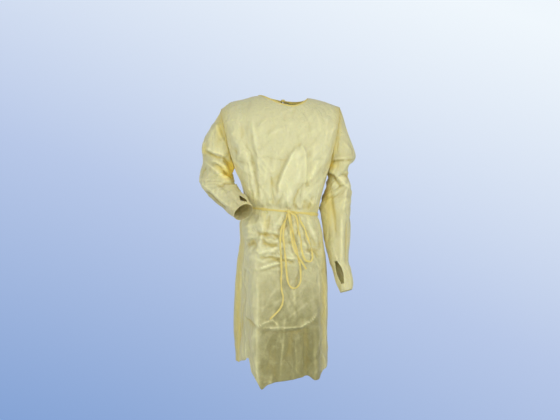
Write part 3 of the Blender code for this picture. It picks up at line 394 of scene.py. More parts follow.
# The same for the backs, as seen in plan from the front.
BACK_CREASES = metres(
    (3, 8, 13, (-150, -100), (-130, -180), (-118, -270), (-88, -400)),
    (-3.2, 10, 7, (-168, -150), (-150, -250), (-122, -350), (-108, -418)),
    (2.4, 12, 8, (-55, -80), (-66, -160), (-70, -260), (-58, -350)),
    (-3, 8, 10, (-30, -240), (-36, -330), (-30, -424)),
    (3.4, 12, 7, (140, -120), (122, -220), (110, -320), (86, -420)),
    (-3, 8, 12, (100, -140), (92, -240), (80, -330), (60, -424)),
    (2.6, 9, 9, (40, -130), (46, -230), (30, -330), (28, -420)),
    (-1.5, 6, 4, (-140, -236), (-70, -232), (-10, -240), (70, -234), (140, -240)),
    (2.2, 8, 5, (20, -200), (52, -190), (90, -206)),
    (-2.2, 7, 6, (-100, -300), (-62, -310), (-24, -298)),
    (4.4, 8, 8, (-110, -440), (-122, -520), (-118, -600)),
    (-4, 7, 9, (-80, -440), (-90, -510), (-86, -570)),
    (4.2, 10, 7, (-40, -442), (-50, -530), (-44, -640)),
    (-3.6, 7, 7, (-10, -442), (-16, -500), (-12, -580)),
    (4.4, 7, 10, (30, -442), (38, -520), (30, -620)),
    (-3.8, 8, 8, (64, -442), (70, -520), (78, -590)),
    (4, 8, 8, (104, -442), (116, -530), (112, -610)),
    (3.4, 6, 10, (-120, -560), (-70, -548), (-20, -562)),
    (-3.6, 8, 6, (-110, -590), (-60, -584), (-4, -596)),
    (3, 6, 9, (-20, -530), (30, -540), (80, -528)),
    (-3.2, 7, 6, (6, -575), (56, -570), (120, -586)),
    (3.4, 6, 10, (20, -610), (70, -620), (128, -612)),
    (3, 9, 7, (-62, -700), (-60, -820), (-64, -1040)),
    (-3.2, 8, 10, (-112, -690), (-116, -840), (-120, -1030)),
    (3.6, 7, 10, (70, -700), (74, -860), (78, -1036)),
    (-3, 9, 8, (4, -760), (4, -880), (0, -1036)),
    (-2.2, 5, 6, (-140, -845), (-70, -850), (0, -842), (80, -850), (140, -846)),
    (2.2, 5, 7, (-100, -860), (-60, -835), (-20, -858)),
    (1.4, 5, 5, (90, -690), (92, -800), (90, -900)),
)
# Short random creases: a patch's middle as distance round from the centre line and z,
# its reach each way, how many, their slope in degrees, length, width and height.
FRONT_CRUMPLES = metres(
    (0, -200, 200, 130, 80, 70, 36, 10, 1.3),
    (-120, -260, 70, 120, 30, 105, 45, 9, 2),
    (120, -300, 60, 100, 30, 75, 45, 9, 2),
    (0, -380, 150, 50, 40, 85, 36, 7, 1.8),
    (-30, -555, 80, 70, 70, 4, 36, 7, 2.6),
    (-130, -580, 60, 90, 34, 25, 34, 8, 1.6),
    (100, -560, 80, 80, 40, -20, 34, 8, 2.2),
    (0, -740, 160, 120, 44, 80, 60, 12, 1.3),
    (0, -950, 180, 120, 60, 88, 70, 9, 1.8),
    (-220, -750, 80, 300, 40, 85, 70, 12, 1.8),
    (220, -750, 80, 300, 40, 85, 70, 12, 1.8),
    plain=(4, 5),
)
BACK_CRUMPLES = metres(
    (0, -160, 200, 120, 60, 80, 40, 11, 1),
    (100, -300, 80, 100, 30, 70, 45, 9, 1.4),
    (-100, -300, 80, 100, 30, 110, 45, 9, 1.4),
    (0, -390, 180, 40, 40, 88, 32, 7, 1.5),
    (0, -560, 170, 80, 90, 8, 36, 9, 1.8),
    (0, -780, 240, 140, 60, 84, 60, 12, 1),
    (0, -960, 240, 100, 60, 88, 60, 10, 1.2),
    plain=(4, 5),
)
# Creases of the sleeves as seen from the front, on the half that faces it.
SLEEVE_RIGHT_CREASES = metres(
    (-5.8, 6, 10, (-296, -204), (-279, -216), (-245, -233), (-219, -237), (-200, -256), (-186, -284)),
    (5, 18, 6, (-292, -196), (-262, -214), (-232, -224), (-208, -236)),
    (-4.6, 5, 8, (-226, -243), (-202, -263), (-190, -290)),
    (5.6, 9, 7, (-272, -246), (-246, -250), (-218, -270), (-202, -296)),
    (-5, 6, 7, (-254, -258), (-232, -272), (-212, -298)),
    (6.6, 10, 12, (-296, -238), (-267, -262), (-245, -280), (-224, -305), (-186, -324)),
    (-4, 7, 7, (-226, -284), (-206, -304), (-186, -312)),
    (6.2, 22, 7, (-306, -306), (-296, -338), (-262, -361), (-232, -388), (-200, -410), (-176, -424)),
    (-5, 7, 16, (-300, -352), (-262, -377), (-232, -404), (-196, -430)),
    (-2.6, 7, 7, (-250, -330), (-222, -350), (-196, -372)),
    (4.8, 10, 10, (-252, -100), (-233, -150), (-208, -190), (-200, -222)),
    (-4, 8, 8, (-238, -120), (-216, -170), (-202, -205)),
    (4, 6, 12, (-290, -168), (-292, -200), (-294, -226)),
    (2.8, 10, 10, (-264, -96), (-266, -140), (-276, -190)),
    (2.6, 7, 7, (-192, -358), (-172, -386), (-158, -412)),
)
SLEEVE_LEFT_CREASES = metres(
    (-6, 9, 4, (166, -256), (196, -249), (228, -246), (254, -246), (270, -238)),
    (5, 6, 16, (176, -242), (206, -238), (240, -236), (268, -230)),
    (6.4, 14, 6, (160, -276), (194, -296), (211, -316), (228, -334), (256, -358)),
    (-6, 8, 6, (164, -288), (190, -310), (206, -330), (222, -350)),
    (-4.2, 7, 5, (206, -298), (240, -300), (254, -312)),
    (3.6, 5, 9, (214, -286), (236, -288), (254, -292)),
    (2.4, 7, 4, (199, -156), (222, -150), (240, -154)),
    (2, 5, 6, (211, -166), (211, -190)),
    (2.2, 7, 5, (199, -206), (226, -204)),
    (3.2, 6, 10, (222, -176), (240, -196), (262, -218)),
    (-3, 8, 8, (196, -80), (206, -150), (200, -230)),
    (5.4, 12, 10, (218, -430), (214, -500), (213, -560), (214, -640)),
    (4.4, 9, 10, (236, -340), (234, -380), (222, -440)),
    (-4, 10, 10, (176, -330), (184, -400), (192, -470), (197, -540)),
    (-3.2, 9, 9, (240, -450), (236, -560), (232, -640)),
    (3, 7, 7, (204, -640), (216, -662), (232, -700)),
)
# The same on the half that faces away, again as seen from the front.
SLEEVE_RIGHT_BACK_CREASES = metres(
    (4.6, 9, 6, (-300, -236), (-262, -240), (-222, -262)),
    (-4.6, 6, 8, (-304, -252), (-262, -258), (-226, -280)),
    (4.4, 9, 6, (-306, -280), (-262, -284), (-222, -300)),
    (2.6, 9, 9, (-262, -110), (-250, -160), (-240, -210)),
    (-2.6, 9, 9, (-232, -100), (-222, -160), (-216, -220)),
    (2.4, 8, 8, (-290, -320), (-250, -352), (-200, -386)),
    (-2.2, 8, 8, (-262, -320), (-226, -346), (-186, -376)),
)
SLEEVE_LEFT_BACK_CREASES = metres(
    (4.6, 9, 6, (184, -250), (222, -246), (262, -260)),
    (-4.6, 6, 8, (180, -268), (222, -266), (256, -282)),
    (4.2, 9, 6, (176, -296), (214, -300), (252, -322)),
    (2.6, 9, 9, (210, -100), (216, -160), (222, -220)),
    (-2.8, 9, 9, (200, -350), (204, -450), (208, -560)),
    (2.8, 9, 9, (232, -350), (228, -450), (226, -600)),
    (2.2, 7, 7, (186, -440), (206, -470), (232, -480)),
)
# Places of painted light and shade, as seen from the front: a painted glow where light would come
# through folded layers, and painted shade on undersides. Middle, reach each way, how much deeper the
# yellow is and how much brighter.
PAINTED_LIGHT_PLACES = metres(
    # x, z, reach_x, reach_z, deeper, brighter
    (-203, -296, 26, 18, 0.8, 2.3),
    (-193, -266, 14, 18, 0.7, 1.9),
    (-228, -272, 26, 12, 0.4, 1.0),
    (-294, -206, 12, 22, 0.5, 0.2),
    (-236, -140, 12, 50, 0.35, 0.2),
    (-280, -376, 18, 14, 0.0, -0.9),
    (-252, -398, 18, 14, 0.0, -1.1),
    (-222, -422, 20, 14, 0.0, -1.1),
    (-192, -442, 18, 12, 0.0, -0.8),
    (186, -266, 24, 12, 0.55, 0.3),
    (246, -300, 16, 12, 0.5, 0.2),
    (160, -360, 10, 50, 0.6, -0.4),
    (172, -420, 12, 80, 0.5, 0.1),
    (-120, -410, 30, 30, 0.25, 0.0),
    (100, -420, 30, 22, 0.3, 0.0),
    (-66, -480, 8, 40, 0.3, 0.2),
    (-48, -536, 26, 30, 0.12, -0.3),
    (152, -750, 14, 220, 0.5, 0.1),
    (-138, -900, 24, 110, 0.0, -0.4),
    (-170, -820, 14, 220, 0.35, 0.4),
    plain=(4, 5),
)
SLEEVE_CRUMPLES = metres(
    # middle as distance round from the outer line and along the sleeve
    (200, 100, 250, 80, 50, 80, 36, 9, 1.8),
    (200, 240, 250, 60, 80, 10, 34, 8, 2.6),
    (180, 400, 220, 120, 60, 80, 50, 9, 2),
    (120, 580, 160, 100, 40, 75, 36, 8, 1.8),
    plain=(4, 5),
)

# ---------------------------------------------------------------- looks
SEAM_TURN = ((0.0009, 0.0004), (0.0032, 0.0007), (0.0070, 0.0006))  # depth, set in
CORNER_ROOM = 0.022      # a turned edge grows to its depth over this from a corner
CORNER_PLAIN = 0.006     # after this far with only
LEAST_TURN = 0.06        # this share of its depth
SEAM_SHOWS = 0.010       # the seam allowance shows through this far from a seam
SEAM_DEEPER = 0.55       # and its yellow is deeper by this
PUCKERS = ((0.0115, 0.55), (0.017, 0.5), (0.031, 0.6), (0.067, 0.5))   # pitch, share
PUCKER_HEIGHT = 0.0007
PUCKER_REACH = 0.011     # puckers fade over this distance from their seam
PUCKER_CLEAR = 0.01      # and over this height at the waist tie
SIDE_CALM = 0.020        # creases fade over this distance to a side seam or armhole
TOP_CALM = 0.018         # and over this one to a panel's top edge
CREASED = 1.8            # how strongly the placed creases stand, against their tables
SLEEVE_CREASED = 2.0
CREASE_CLEAR = 0.014     # creases are pressed flat over this height at the tie
CREASE_TAPER = 5.0       # a crease rises over a fifth of its length at either end
LAPPED_CALM = 0.6        # creases are weaker by this where the backs lap
UNDER_CALM = 0.65        # and again on the lap that lies underneath
CUFF_CALM = 0.8          # and weaker by this at a cuff
CUFF_REACH = 0.03        # over this length
PRESSED_BY = 0.0038      # a crease this high gets its full painted line
CREASE_LINE = 0.0045     # half the width of a crease's painted highlight line
CREST_MARK = 0.8         # how bright that painted highlight is
FACET_MARK = 0.7         # how bright the painted light on the broad side of an uneven crease is
SHADE_MARK = 0.5         # how dark the painted shade on its narrow side is
SHADE_REACH = 0.010      # and how far from the line
MOST_PRESSED, MOST_MARKED = 1.6, 1.8     # limits of a painted mark, and of a bright sum of them
CRUMPLE_MARKED = 0.9     # how much painted highlight the short creases' crests get
HIGHEST, DEEPEST = 0.0080, 0.0095    # how far creases stand proud and sink
TIED_HIGHEST = 0.0030    # the same under the bow and its ends
SLEEVE_HIGHEST, SLEEVE_DEEPEST = 0.0070, 0.0120
FRONT_GATHERS = (24, 0.018, 0.090, 0.0030)   # how many, shortest, longest, height
BACK_GATHERS = (24, 0.018, 0.090, 0.0030)
GATHER_START = 0.004     # gathers rise over this height from the tie
BOW_SPREAD = (0.030, 0.150, -0.845)  # middle, half width and foot of the bow's tapes
TROUGH_DEEPER = 0.45     # painted shade: the yellow is deeper by this in a trough
EDGE_DEEPER = 0.48       # by this near a seam, a painted reflection of the yellow cloth beside it
EDGE_REACH = 0.030
LINE_DEEPER = 0.20       # and by this painted shade on a crease line that runs inwards
DARK_AT_SIDE = 0.15      # painted shade of the dark inside, behind the skirt at the wearer's right side
DARK_RISES = ((-0.118, 0.045, 0.67), (-0.100, 0.09, 0.30))   # x, width, more painted shade
BACK_DARK = 0.45         # the same painted shade behind the backs
SLEEVE_DEEPER = 0.08     # the sleeves are a little yellower and darker
SLEEVE_DARKER = 0.20
TAPE_BREADTH = 0.0070    # width and thickness of the ties that show
TAPE_DEPTH = 0.0012
TAPE_FINE = 0.003        # spacing of the points along a tape that shows
TAPE_EASING = 6          # rounds of easing that let a tape bridge small folds
FREE_TWIST = 0.42        # how much a free tape turns about its line
ENTRY_STEPS = 3          # points that lead a tape into its knot
STITCH_IN = 0.26         # a tape's stitches lie this share of its width off its line
STITCH_UP = 0.47         # and this share of its thickness up
STITCH_SIZES = {"Stitch Pitch": 0.0032, "Stitch Length": 0.0023, "Thread Width": 0.00042}
BAND_SPREADS = (         # where the drawn-in tie lies flat: x, half width, how much
    (0.107, 0.016, 0.85),
    (-0.072, 0.009, 0.60),
)
BINDING_SINK = 0.0032    # how far the binding reaches down over the neck edge
KNOT_LOW = np.array((0.0, 0.0005, -0.0035))
KNOT_SIDE = np.array((0.0040, 0.0, -0.0005))

CLOTH_COLOURS = (
    (0.765, 0.72, 0.40, 1.0),   # pale, over the shoulders and front
    (0.82, 0.64, 0.13, 1.0),     # deep: doubled cloth, and painted shade in folds
    (0.33, 0.305, 0.125, 1.0),   # low: painted shade of the dark, shaded inside, lower down
)
TAPE_COLOURS = (
    (0.80, 0.66, 0.20, 1.0),
    (0.80, 0.60, 0.11, 1.0),
    (0.62, 0.52, 0.19, 1.0),
)
THREAD_COLOUR = (0.88, 0.80, 0.46, 1.0)
CLOTH_SHINE = {
    "Roughness": 0.62,
    "Sheen Weight": 0.25,
    "Sheen Roughness": 0.45,
    "Sheen Tint": (1.0, 0.97, 0.85, 1.0),
    "Specular IOR Level": 0.35,
    "Subsurface Weight": 0.25,
    "Subsurface Radius": (0.0016, 0.0012, 0.0005),
    "Subsurface Scale": 1.0,
}
TAPE_SHINE = {
    "Roughness": 0.58,
    "Sheen Weight": 0.20,
    "Sheen Roughness": 0.45,
    "Specular IOR Level": 0.35,
    "Subsurface Weight": 0.15,
    "Subsurface Radius": (0.004, 0.003, 0.001),
    "Subsurface Scale": 1.0,
}
WEB_SIZES = {"Bond Spacing": 0.0021, "Cloud Size": 0.007, "Blotch Size": 0.030}
FIBRE_RATE = 1500.0
STRAND_RATES = (900.0, 210.0, 1.0)
BOND_RIM = (0.24, 0.15)  # a bond point's rim and its flat, in bond spacings
DARK_HEIGHTS = (-0.45, -0.98)    # the painted shade of the dark inside starts and is full at these heights
CREST_COVER = 0.24       # how much a painted highlight line hides of the painted shade of the inside
CREST_BRIGHT = 0.20      # and how much brighter its painted highlight is

CAMERA_PLACE = (-0.011, -2.500, -0.430)
SENSOR_WIDTH = 36.0      # millimetres, which the lens goes by
SEEN_WIDTH = 2.128       # width of the view at the gown's middle
BACKDROP = (
    (0.190, 0.330, 0.640, 1.0),
    (0.480, 0.580, 0.810, 1.0),
    (0.870, 0.930, 0.980, 1.0),
)
BACKDROP_SLOPE = (0.45, 1.10, 0.56)  # its change across and upwards, and its middle
AIR_COLOUR = (0.90, 0.94, 1.0, 1.0)
AIR_STRENGTH = 0.42
LIGHTS = (
    # name, place, aim, size, power, colour
    ("key", (1.65, -1.95, 0.20), (0.0, 0.0, -0.42), 0.60, 20.5, (1.0, 0.98, 0.94)),
    ("front", (-0.30, -2.60, -0.20), (0.0, 0.0, -0.45), 1.5, 16.0, (1.0, 0.99, 0.96)),
    ("fill", (-2.10, -1.60, 0.00), (0.0, 0.0, -0.50), 1.4, 12.6, (0.98, 0.98, 1.0)),
    ("rim", (-0.60, 2.20, 0.20), (0.0, 0.0, -0.50), 1.8, 12.0, (1.0, 0.98, 0.95)),
)
FLOOR_MIDDLE = np.array((0.0, -0.75, -1.42))
FLOOR_RADIUS = 1.2
FLOOR_FULL = 0.55        # the share of it that does not fade
FLOOR_COLOUR = (0.78, 0.83, 0.90, 1.0)


# ---------------------------------------------------------------- small maths
def smooth_curve(table, column, at):
    """A smooth curve through one column of a table, against its first column."""
    rows = np.array(sorted(table, key=lambda row: row[0]), float)
    x, y = rows[:, 0], rows[:, column]
    rate = np.diff(y) / np.diff(x)
    before, after = np.append(rate[:1], rate), np.append(rate, rate[-1:])
    turns = before * after <= 0
    slope = np.where(turns, 0.0, 2 * before * after / np.where(turns, 1, before + after))
    at = np.clip(np.asarray(at, float), x[0], x[-1])
    i = np.clip(np.searchsorted(x, at) - 1, 0, len(x) - 2)
    span = x[i + 1] - x[i]
    t = (at - x[i]) / span
    rise = t * t * (3 - 2 * t)
    start = t * (1 - t) ** 2 * span * slope[i]
    stop = t * t * (t - 1) * span * slope[i + 1]
    return y[i] * (1 - rise) + y[i + 1] * rise + start + stop


def ease(t):
    t = np.clip(t, 0.0, 1.0)
    return t * t * (3 - 2 * t)


def bell(off):
    return np.exp(-(off**2))


def unit(vectors):
    length = np.linalg.norm(vectors, axis=-1, keepdims=True)
    return vectors / np.maximum(length, 1e-12)


def joined(*pieces):
    """Runs of numbers joined where the end of one is the start of the next."""
    return np.concatenate([pieces[0]] + [piece[1:] for piece in pieces[1:]])


def grid_normals(points):
    """Outward normals of a grid whose columns run clockwise seen from above."""
    return unit(np.cross(np.gradient(points, axis=1), np.gradient(points, axis=0)))


def lengths_along(points, axis):
    """Distance along the rows or columns of a grid, from its first line."""
    steps = np.linalg.norm(np.diff(points, axis=axis), axis=-1)
    start = np.zeros_like(np.take(steps, [0], axis=axis))
    return np.concatenate([start, np.cumsum(steps, axis=axis)], axis=axis)


# ---------------------------------------------------------------- body surface
def section(z, *columns):
    """Columns of the section table at height z."""
    return [smooth_curve(SECTIONS, column, z) for column in columns]


def waist_tilt(z):
    """How much the cloth at height z shares the slant of the waist tie."""
    return BELT_TILT * bell((z - BELT_Z) / BELT_REACH)


def above_round(x, z):
    """1 on the line of the shoulders, falling to 0 where their rounding ends."""
    below = smooth_curve(SHOULDER_LINE, 1, x) - z
    return 1 - np.clip(below / SHOULDER_ROUND, 0, 1)


def away_from_tie(z):
    """Height above or below the straight strip of cloth under the waist tie."""
    return np.maximum(np.abs(z - BELT_Z) - PINCH_HALF, 0)


def neck_profile(x):
    """Share of the neck drop at x, 0 at the shoulder seams; deepest left of centre."""
    across = np.clip((x + NECK_HALF) / (2 * NECK_HALF), 0, 1)
    return np.sin(math.pi * across**1.5).clip(0) ** 0.8


def section_x(share, z):
    """x of a point of a body section; share runs from -1 to 1 between the sides."""
    side = np.abs(np.sin(share * math.pi / 2)) ** (2 / SQUARENESS)
    right, left = section(z, 1, 2)
    return np.where(share < 0, -right * side, left * side)


def section_depth(share, z, front):
    """Distance of that point in front of or behind the side line."""
    bulge = np.abs(np.cos(share * math.pi / 2)) ** (2 / SQUARENESS)
    middle, edge = section(z, *((3, 5) if front else (4, 6)))
    return edge + (middle - edge) * bulge


def share_at(x, z):
    """The share at which a body section reaches x."""
    half = smooth_curve(SECTIONS, 2 if x > 0 else 1, z)
    return np.sign(x) * 2 / math.pi * math.asin((abs(x) / half) ** (SQUARENESS / 2))


def body_surface(share, z, front):
    """Points of the smooth body, with shoulders rounded off and the waist tilted."""
    x = section_x(share, z)
    rounding = np.sqrt(np.clip(1 - above_round(x, z) ** 2, 0, 1))
    y = section_depth(share, z, front) * rounding
    return np.stack([x, -y if front else y, z + waist_tilt(z) * x], axis=-1)


def even_shares(start, stop, count, front):
    """Shares between two others, evenly spaced along a section of the skirt."""
    dense = np.linspace(start, stop, 500)
    line = body_surface(dense, np.full_like(dense, SKIRT_Z), front)[:, :2]
    run = np.append(0, np.cumsum(np.linalg.norm(np.diff(line, axis=0), axis=1)))
    return np.interp(np.linspace(0, run[-1], count), run, dense)


def shoulder_height(share):
    """Height at which the body at each share meets the line of the shoulder seams."""
    z = np.full_like(share, SHOULDER_Z)
    for _ in range(12):
        z = smooth_curve(SHOULDER_LINE, 1, section_x(share, z))
    return z


def hem_shift(angle, z):
    """How far the skirt's rows move so that the last one follows the hem table."""
    share = np.clip((BELT_Z - z) / (BELT_Z - HEM_Z), 0, 1)
    return (smooth_curve(HEM, 1, angle) - HEM_Z) * share**2


# ---------------------------------------------------------------- large folds
def fold_heights(folds, x, z):
    """Sum of the folds at points of a panel, given as seen from the front."""
    height = np.zeros_like(x)
    for x0, z0, x1, z1, half_width, peak in folds:
        dx, dz = x1 - x0, z1 - z0
        along = ((x - x0) * dx + (z - z0) * dz) / np.hypot(dx, dz) ** 2
        nearest = np.clip(along, 0, 1)
        off = np.hypot(x - x0 - nearest * dx, z - z0 - nearest * dz)
        height += peak * ease(1.2 - np.abs(along - 0.5) * 1.2) * bell(off / half_width)
    return height


def tie_waves(angle, z):
    """Waves that the waist tie draws into the cloth just above and below it."""
    away = away_from_tie(z)
    waves = sum(
        peak * np.cos(np.radians(count * angle + phase))
        for count, phase, peak in GATHER_WAVES
    )
    return waves * (bell(away / GATHER_REACH) * ease(away / GATHER_CLEAR))


def relief(folds, share, angle, x, z):
    """Height of folds and gathers over the smooth body."""
    height = fold_heights(folds, x, z) * ease(away_from_tie(z) / FOLD_CLEAR)
    return (height + tie_waves(angle, z)) * ease((1 - np.abs(share)) / SIDE_SHARE)


def lap_layer(x, z, left):
    """How far a back panel stands off the common surface where the two lap."""
    past = smooth_curve(BACK_LAP, 1, z)
    layer = ease(((-x if left else x) + past + LAP_FADE) / LAP_FADE)
    return LAP_SPREAD * layer * ease((past + LAP_START) / LAP_START) * (1 if left else -1)


def front_face(x, z):
    """Points of the front cloth and the way it faces there, as seen from the front."""
    x, z = np.asarray(x, float), np.asarray(z, float)

    def depth(across, up):
        level = up - waist_tilt(up) * across
        half = np.where(across < 0, *section(level, 1, 2))
        share = np.arcsin((np.abs(across) / half) ** (SQUARENESS / 2)) * 2 / math.pi
        share = share * np.sign(across)
        smooth = section_depth(share, level, front=True)
        return -smooth - relief(FRONT_FOLDS, share, share * 90.0, across, level)

    step = 0.002
    y = depth(x, z)
    leaning = (depth(x + step, z) - depth(x - step, z)) / (2 * step)
    rising = (depth(x, z + step) - depth(x, z - step)) / (2 * step)
    facing = unit(np.stack([leaning, -np.ones_like(y), rising], axis=-1))
    return np.stack([x, y, z], axis=-1), facing


def back_face(x, z):
    """Points of the outermost back cloth near the centre, and the way it faces."""
    x, z = np.asarray(x, float), np.asarray(z, float)
    left = above_round(x, z)
    (deep,) = section(z, 4)
    y = deep * np.sqrt(1 - left**2) + LAP_SPREAD
    steep = deep * left / SHOULDER_ROUND / np.sqrt(1 - left**2)
    facing = unit(np.stack([np.zeros_like(y), np.ones_like(y), steep], axis=-1))
    return np.stack([x, y, z], axis=-1), facing


# ---------------------------------------------------------------- sleeve forms
def armhole_ring(left):
    """The armhole's points: shoulder, down the front edge, underarm, up the back."""
    edge = np.array([1.0 if left else -1.0])
    top = smooth_curve(SHOULDER_LINE, 1, section_x(edge, SHOULDER_Z))
    fall = np.linspace(0, 1, ARMHOLE_ROWS + 1) ** 1.35
    z = top[:, None] + (UNDERARM_Z - top)[:, None] * fall
    wide = np.repeat(edge[:, None], ARMHOLE_ROWS + 1, axis=1)
    down, up = (body_surface(wide, z, front)[0] for front in (True, False))
    return np.concatenate([down, up[::-1][1:-1]])


def ring_shape(armhole, half_thickness, blend):
    """Shares across and front-to-back of a ring's points: armhole to flattened oval."""
    outer, inner = armhole[0], armhole[SLEEVE_COLUMNS // 2]
    middle, across = (outer + inner) / 2, (outer - inner) / 2
    sewn_across = (armhole - middle) @ across / (across @ across)
    sewn_front = -(armhole[:, 1] - middle[1]) / half_thickness
    turn = np.linspace(0, 2 * math.pi, SLEEVE_COLUMNS, endpoint=False)
    oval_across, oval_front = (
        np.sign(way) * np.abs(way) ** (2 / SLEEVE_SQUARENESS)
        for way in (np.cos(turn), np.sin(turn))
    )
    return (
        sewn_across * (1 - blend) + oval_across * blend,
        sewn_front * (1 - blend) + oval_front * blend,
    )


def ring_front(across, ahead):
    """The way a section's front faces: square to the arm where the section is."""
    plain = unit(np.array([0.0, -1.0, 0.0]) + across[1] * across)
    square = np.cross(across, ahead)
    share = np.linalg.norm(square) ** 4
    square = unit(square) * (-1 if square[1] > 0 else 1)
    return unit(square * share + plain * (1 - share))


def body_side(y, z, left):
    """How far out the body reaches beside a point at depth y and height z."""
    sign = 1.0 if left else -1.0
    level = z - waist_tilt(z) * sign * 0.16
    (half,) = section(level, 2 if left else 1)
    middle = np.where(y < 0, *section(level, 3, 4))
    edge = np.where(y < 0, *section(level, 5, 6))
    bulge = np.clip((np.abs(y) - edge) / (middle - edge), 0, 1) ** (SQUARENESS / 2)
    return half * (1 - bulge**2) ** (1 / SQUARENESS)


def sleeve_points(left):
    """A sleeve's grid: outer line first, then its front, inner line and back."""
    table = np.array(SLEEVE_LEFT if left else SLEEVE_RIGHT)
    sign = 1.0 if left else -1.0
    armhole = armhole_ring(left)
    outer, inner = table[:, 0:3], table[:, 3:6]
    middles = np.vstack([armhole.mean(axis=0), (outer + inner) / 2])
    ahead = unit(np.gradient(middles, axis=0))[1:]
    rings = [armhole + np.array([ARMHOLE_STEP * sign, 0.0, 0.0])]
    for k, row in enumerate(table):
        middle, across = (outer[k] + inner[k]) / 2, (outer[k] - inner[k]) / 2
        front = ring_front(unit(across), ahead[k])
        wide, deep = ring_shape(armhole, table[0, 6], row[7])
        rings.append(middle + wide[:, None] * across + deep[:, None] * front * row[6])
    points = np.stack(rings, axis=1)
    number = np.arange(points.shape[1])[None, :]
    degrees = np.arange(SLEEVE_COLUMNS)[:, None] * 360.0 / SLEEVE_COLUMNS
    lift = np.zeros(points.shape[:2])
    folds = SLEEVE_LEFT_FOLDS if left else SLEEVE_RIGHT_FOLDS
    for at, middle, spread, climb, half_width, height in folds:
        turn = (degrees - middle + 180) % 360 - 180
        off = number - at - climb * turn / 360
        lift += height * np.exp(-((turn / spread) ** 2) - (off / half_width) ** 2)
    lift *= ease((number - 0.5) / 1.5)
    room = np.linalg.norm(np.gradient(points, axis=1), axis=-1)
    lift /= 1 + np.abs(lift) / (0.8 * room)
    centre = points.mean(axis=0, keepdims=True)
    points = points + unit(points - centre) * lift[..., None]
    clear = np.minimum(number * SLEEVE_CLEAR_STEP, SLEEVE_CLEAR)
    least = body_side(points[..., 1], points[..., 2], left) + clear
    points[:, 1:, 0] = sign * np.maximum(sign * points[:, 1:, 0], least[:, 1:])
    return points


def thumb_opening(points, opening):
    """Cells to leave open for the thumb; their rim is drawn into an even oval."""
    first, last, direction = opening
    column = int(round(direction / 360 * SLEEVE_COLUMNS))
    start, stop = int(round(first)), min(int(round(last)), points.shape[1] - 2)
    middle = (start + stop) / 2
    for j in range(start, stop + 1):
        share = abs(j - middle) / ((stop - start) / 2)
        half = THUMB_HALF_WIDTH * math.sqrt(max(0.0, 1 - (0.9 * share) ** 2))
        spine = points[column, j].copy()
        for c in (column - 1, column + 1):
            away = points[c % SLEEVE_COLUMNS, j] - spine
            points[c % SLEEVE_COLUMNS, j] = spine + unit(away) * half
    return {
        (c % SLEEVE_COLUMNS, j)
        for c in (column - 1, column)
        for j in range(start, stop)
    }


# ---------------------------------------------------------------- creases
def folded(distance):
    """Fall of a crease from its line: a soft crest, then a papery slope."""
    return np.exp(-1.25 * (np.sqrt(distance**2 + 0.05) - math.sqrt(0.05)))


def crease_heights(creases, x, z):
    """Heights of the placed creases, and their painted highlights and shade along their lines."""
    total, lines = np.zeros_like(x), np.zeros_like(x)
    for height, left_width, right_width, *corners in creases:
        line = np.array(corners)
        steps = np.diff(line, axis=0)
        lengths = np.hypot(*steps.T)
        starts = np.append(0, np.cumsum(lengths))
        nearest = np.full_like(x, np.inf)
        run, width = np.zeros_like(x), np.full_like(x, left_width)
        for (x0, z0), (dx, dz), length, start in zip(line, steps, lengths, starts):
            share = np.clip(((x - x0) * dx + (z - z0) * dz) / length**2, 0, 1)
            off_x, off_z = x - x0 - share * dx, z - z0 - share * dz
            off = np.hypot(off_x, off_z)
            closer = off < nearest
            nearest = np.where(closer, off, nearest)
            run = np.where(closer, start + share * length, run)
            on_left = dx * off_z - dz * off_x > 0
            width = np.where(closer, np.where(on_left, left_width, right_width), width)
        along = run / starts[-1]
        taper = ease(along * CREASE_TAPER) * ease((1 - along) * CREASE_TAPER)
        total += height * taper * folded(nearest / width)
        # Painted highlight on the crest; on an uneven crease, painted light on its broad side and
        # painted shade on its narrow side.
        painted_light_and_shade = np.clip(height / PRESSED_BY, -MOST_PRESSED, MOST_PRESSED)
        crest = CREST_MARK * bell(nearest / CREASE_LINE)
        if left_width != right_width:
            narrow, broad = sorted((left_width, right_width))
            slope = (width - narrow) / broad
            crest = crest + FACET_MARK * slope * np.exp(-nearest / width)
            crest -= SHADE_MARK * (slope == 0) * np.exp(-nearest / SHADE_REACH)
        lines += painted_light_and_shade * taper * crest
    return total, np.clip(lines, -MOST_PRESSED, MOST_MARKED)


def crumple_heights(patches, across, up, seed):
    """Short creases strewn over patches, small roofs with pointed ends and painted highlights on
    their crests."""
    draw = np.random.default_rng(seed)
    total, lines = np.zeros_like(across), np.zeros_like(across)
    for x, z, reach_x, reach_z, count, slope, length, width, height in patches:
        places = draw.normal(size=(count, 2)) * (reach_x * 0.6, reach_z * 0.6)
        slopes = np.radians(slope + draw.normal(size=count) * 24)
        spans = length * draw.uniform(0.5, 1.7, count)
        widths = width * draw.uniform(0.6, 1.5, count)
        peaks = height * draw.uniform(0.5, 1.5, count) * draw.choice([-1, 1], count)
        for (px, pz), turn, span, wide, peak in zip(
            places, slopes, spans, widths, peaks
        ):
            dx, dz = across - x - px, up - z - pz
            near = np.abs(dx) + np.abs(dz) < 1.5 * (span + wide)
            along = (dx[near] * math.cos(turn) + dz[near] * math.sin(turn)) / span
            off = (dz[near] * math.cos(turn) - dx[near] * math.sin(turn)) / wide
            taper = ease(1.15 - np.abs(along))
            total[near] += peak * folded(off) * taper
            crest = bell(off * wide / CREASE_LINE) * taper
            lines[near] += CRUMPLE_MARKED * math.tanh(peak / PRESSED_BY) * crest
    return total, lines


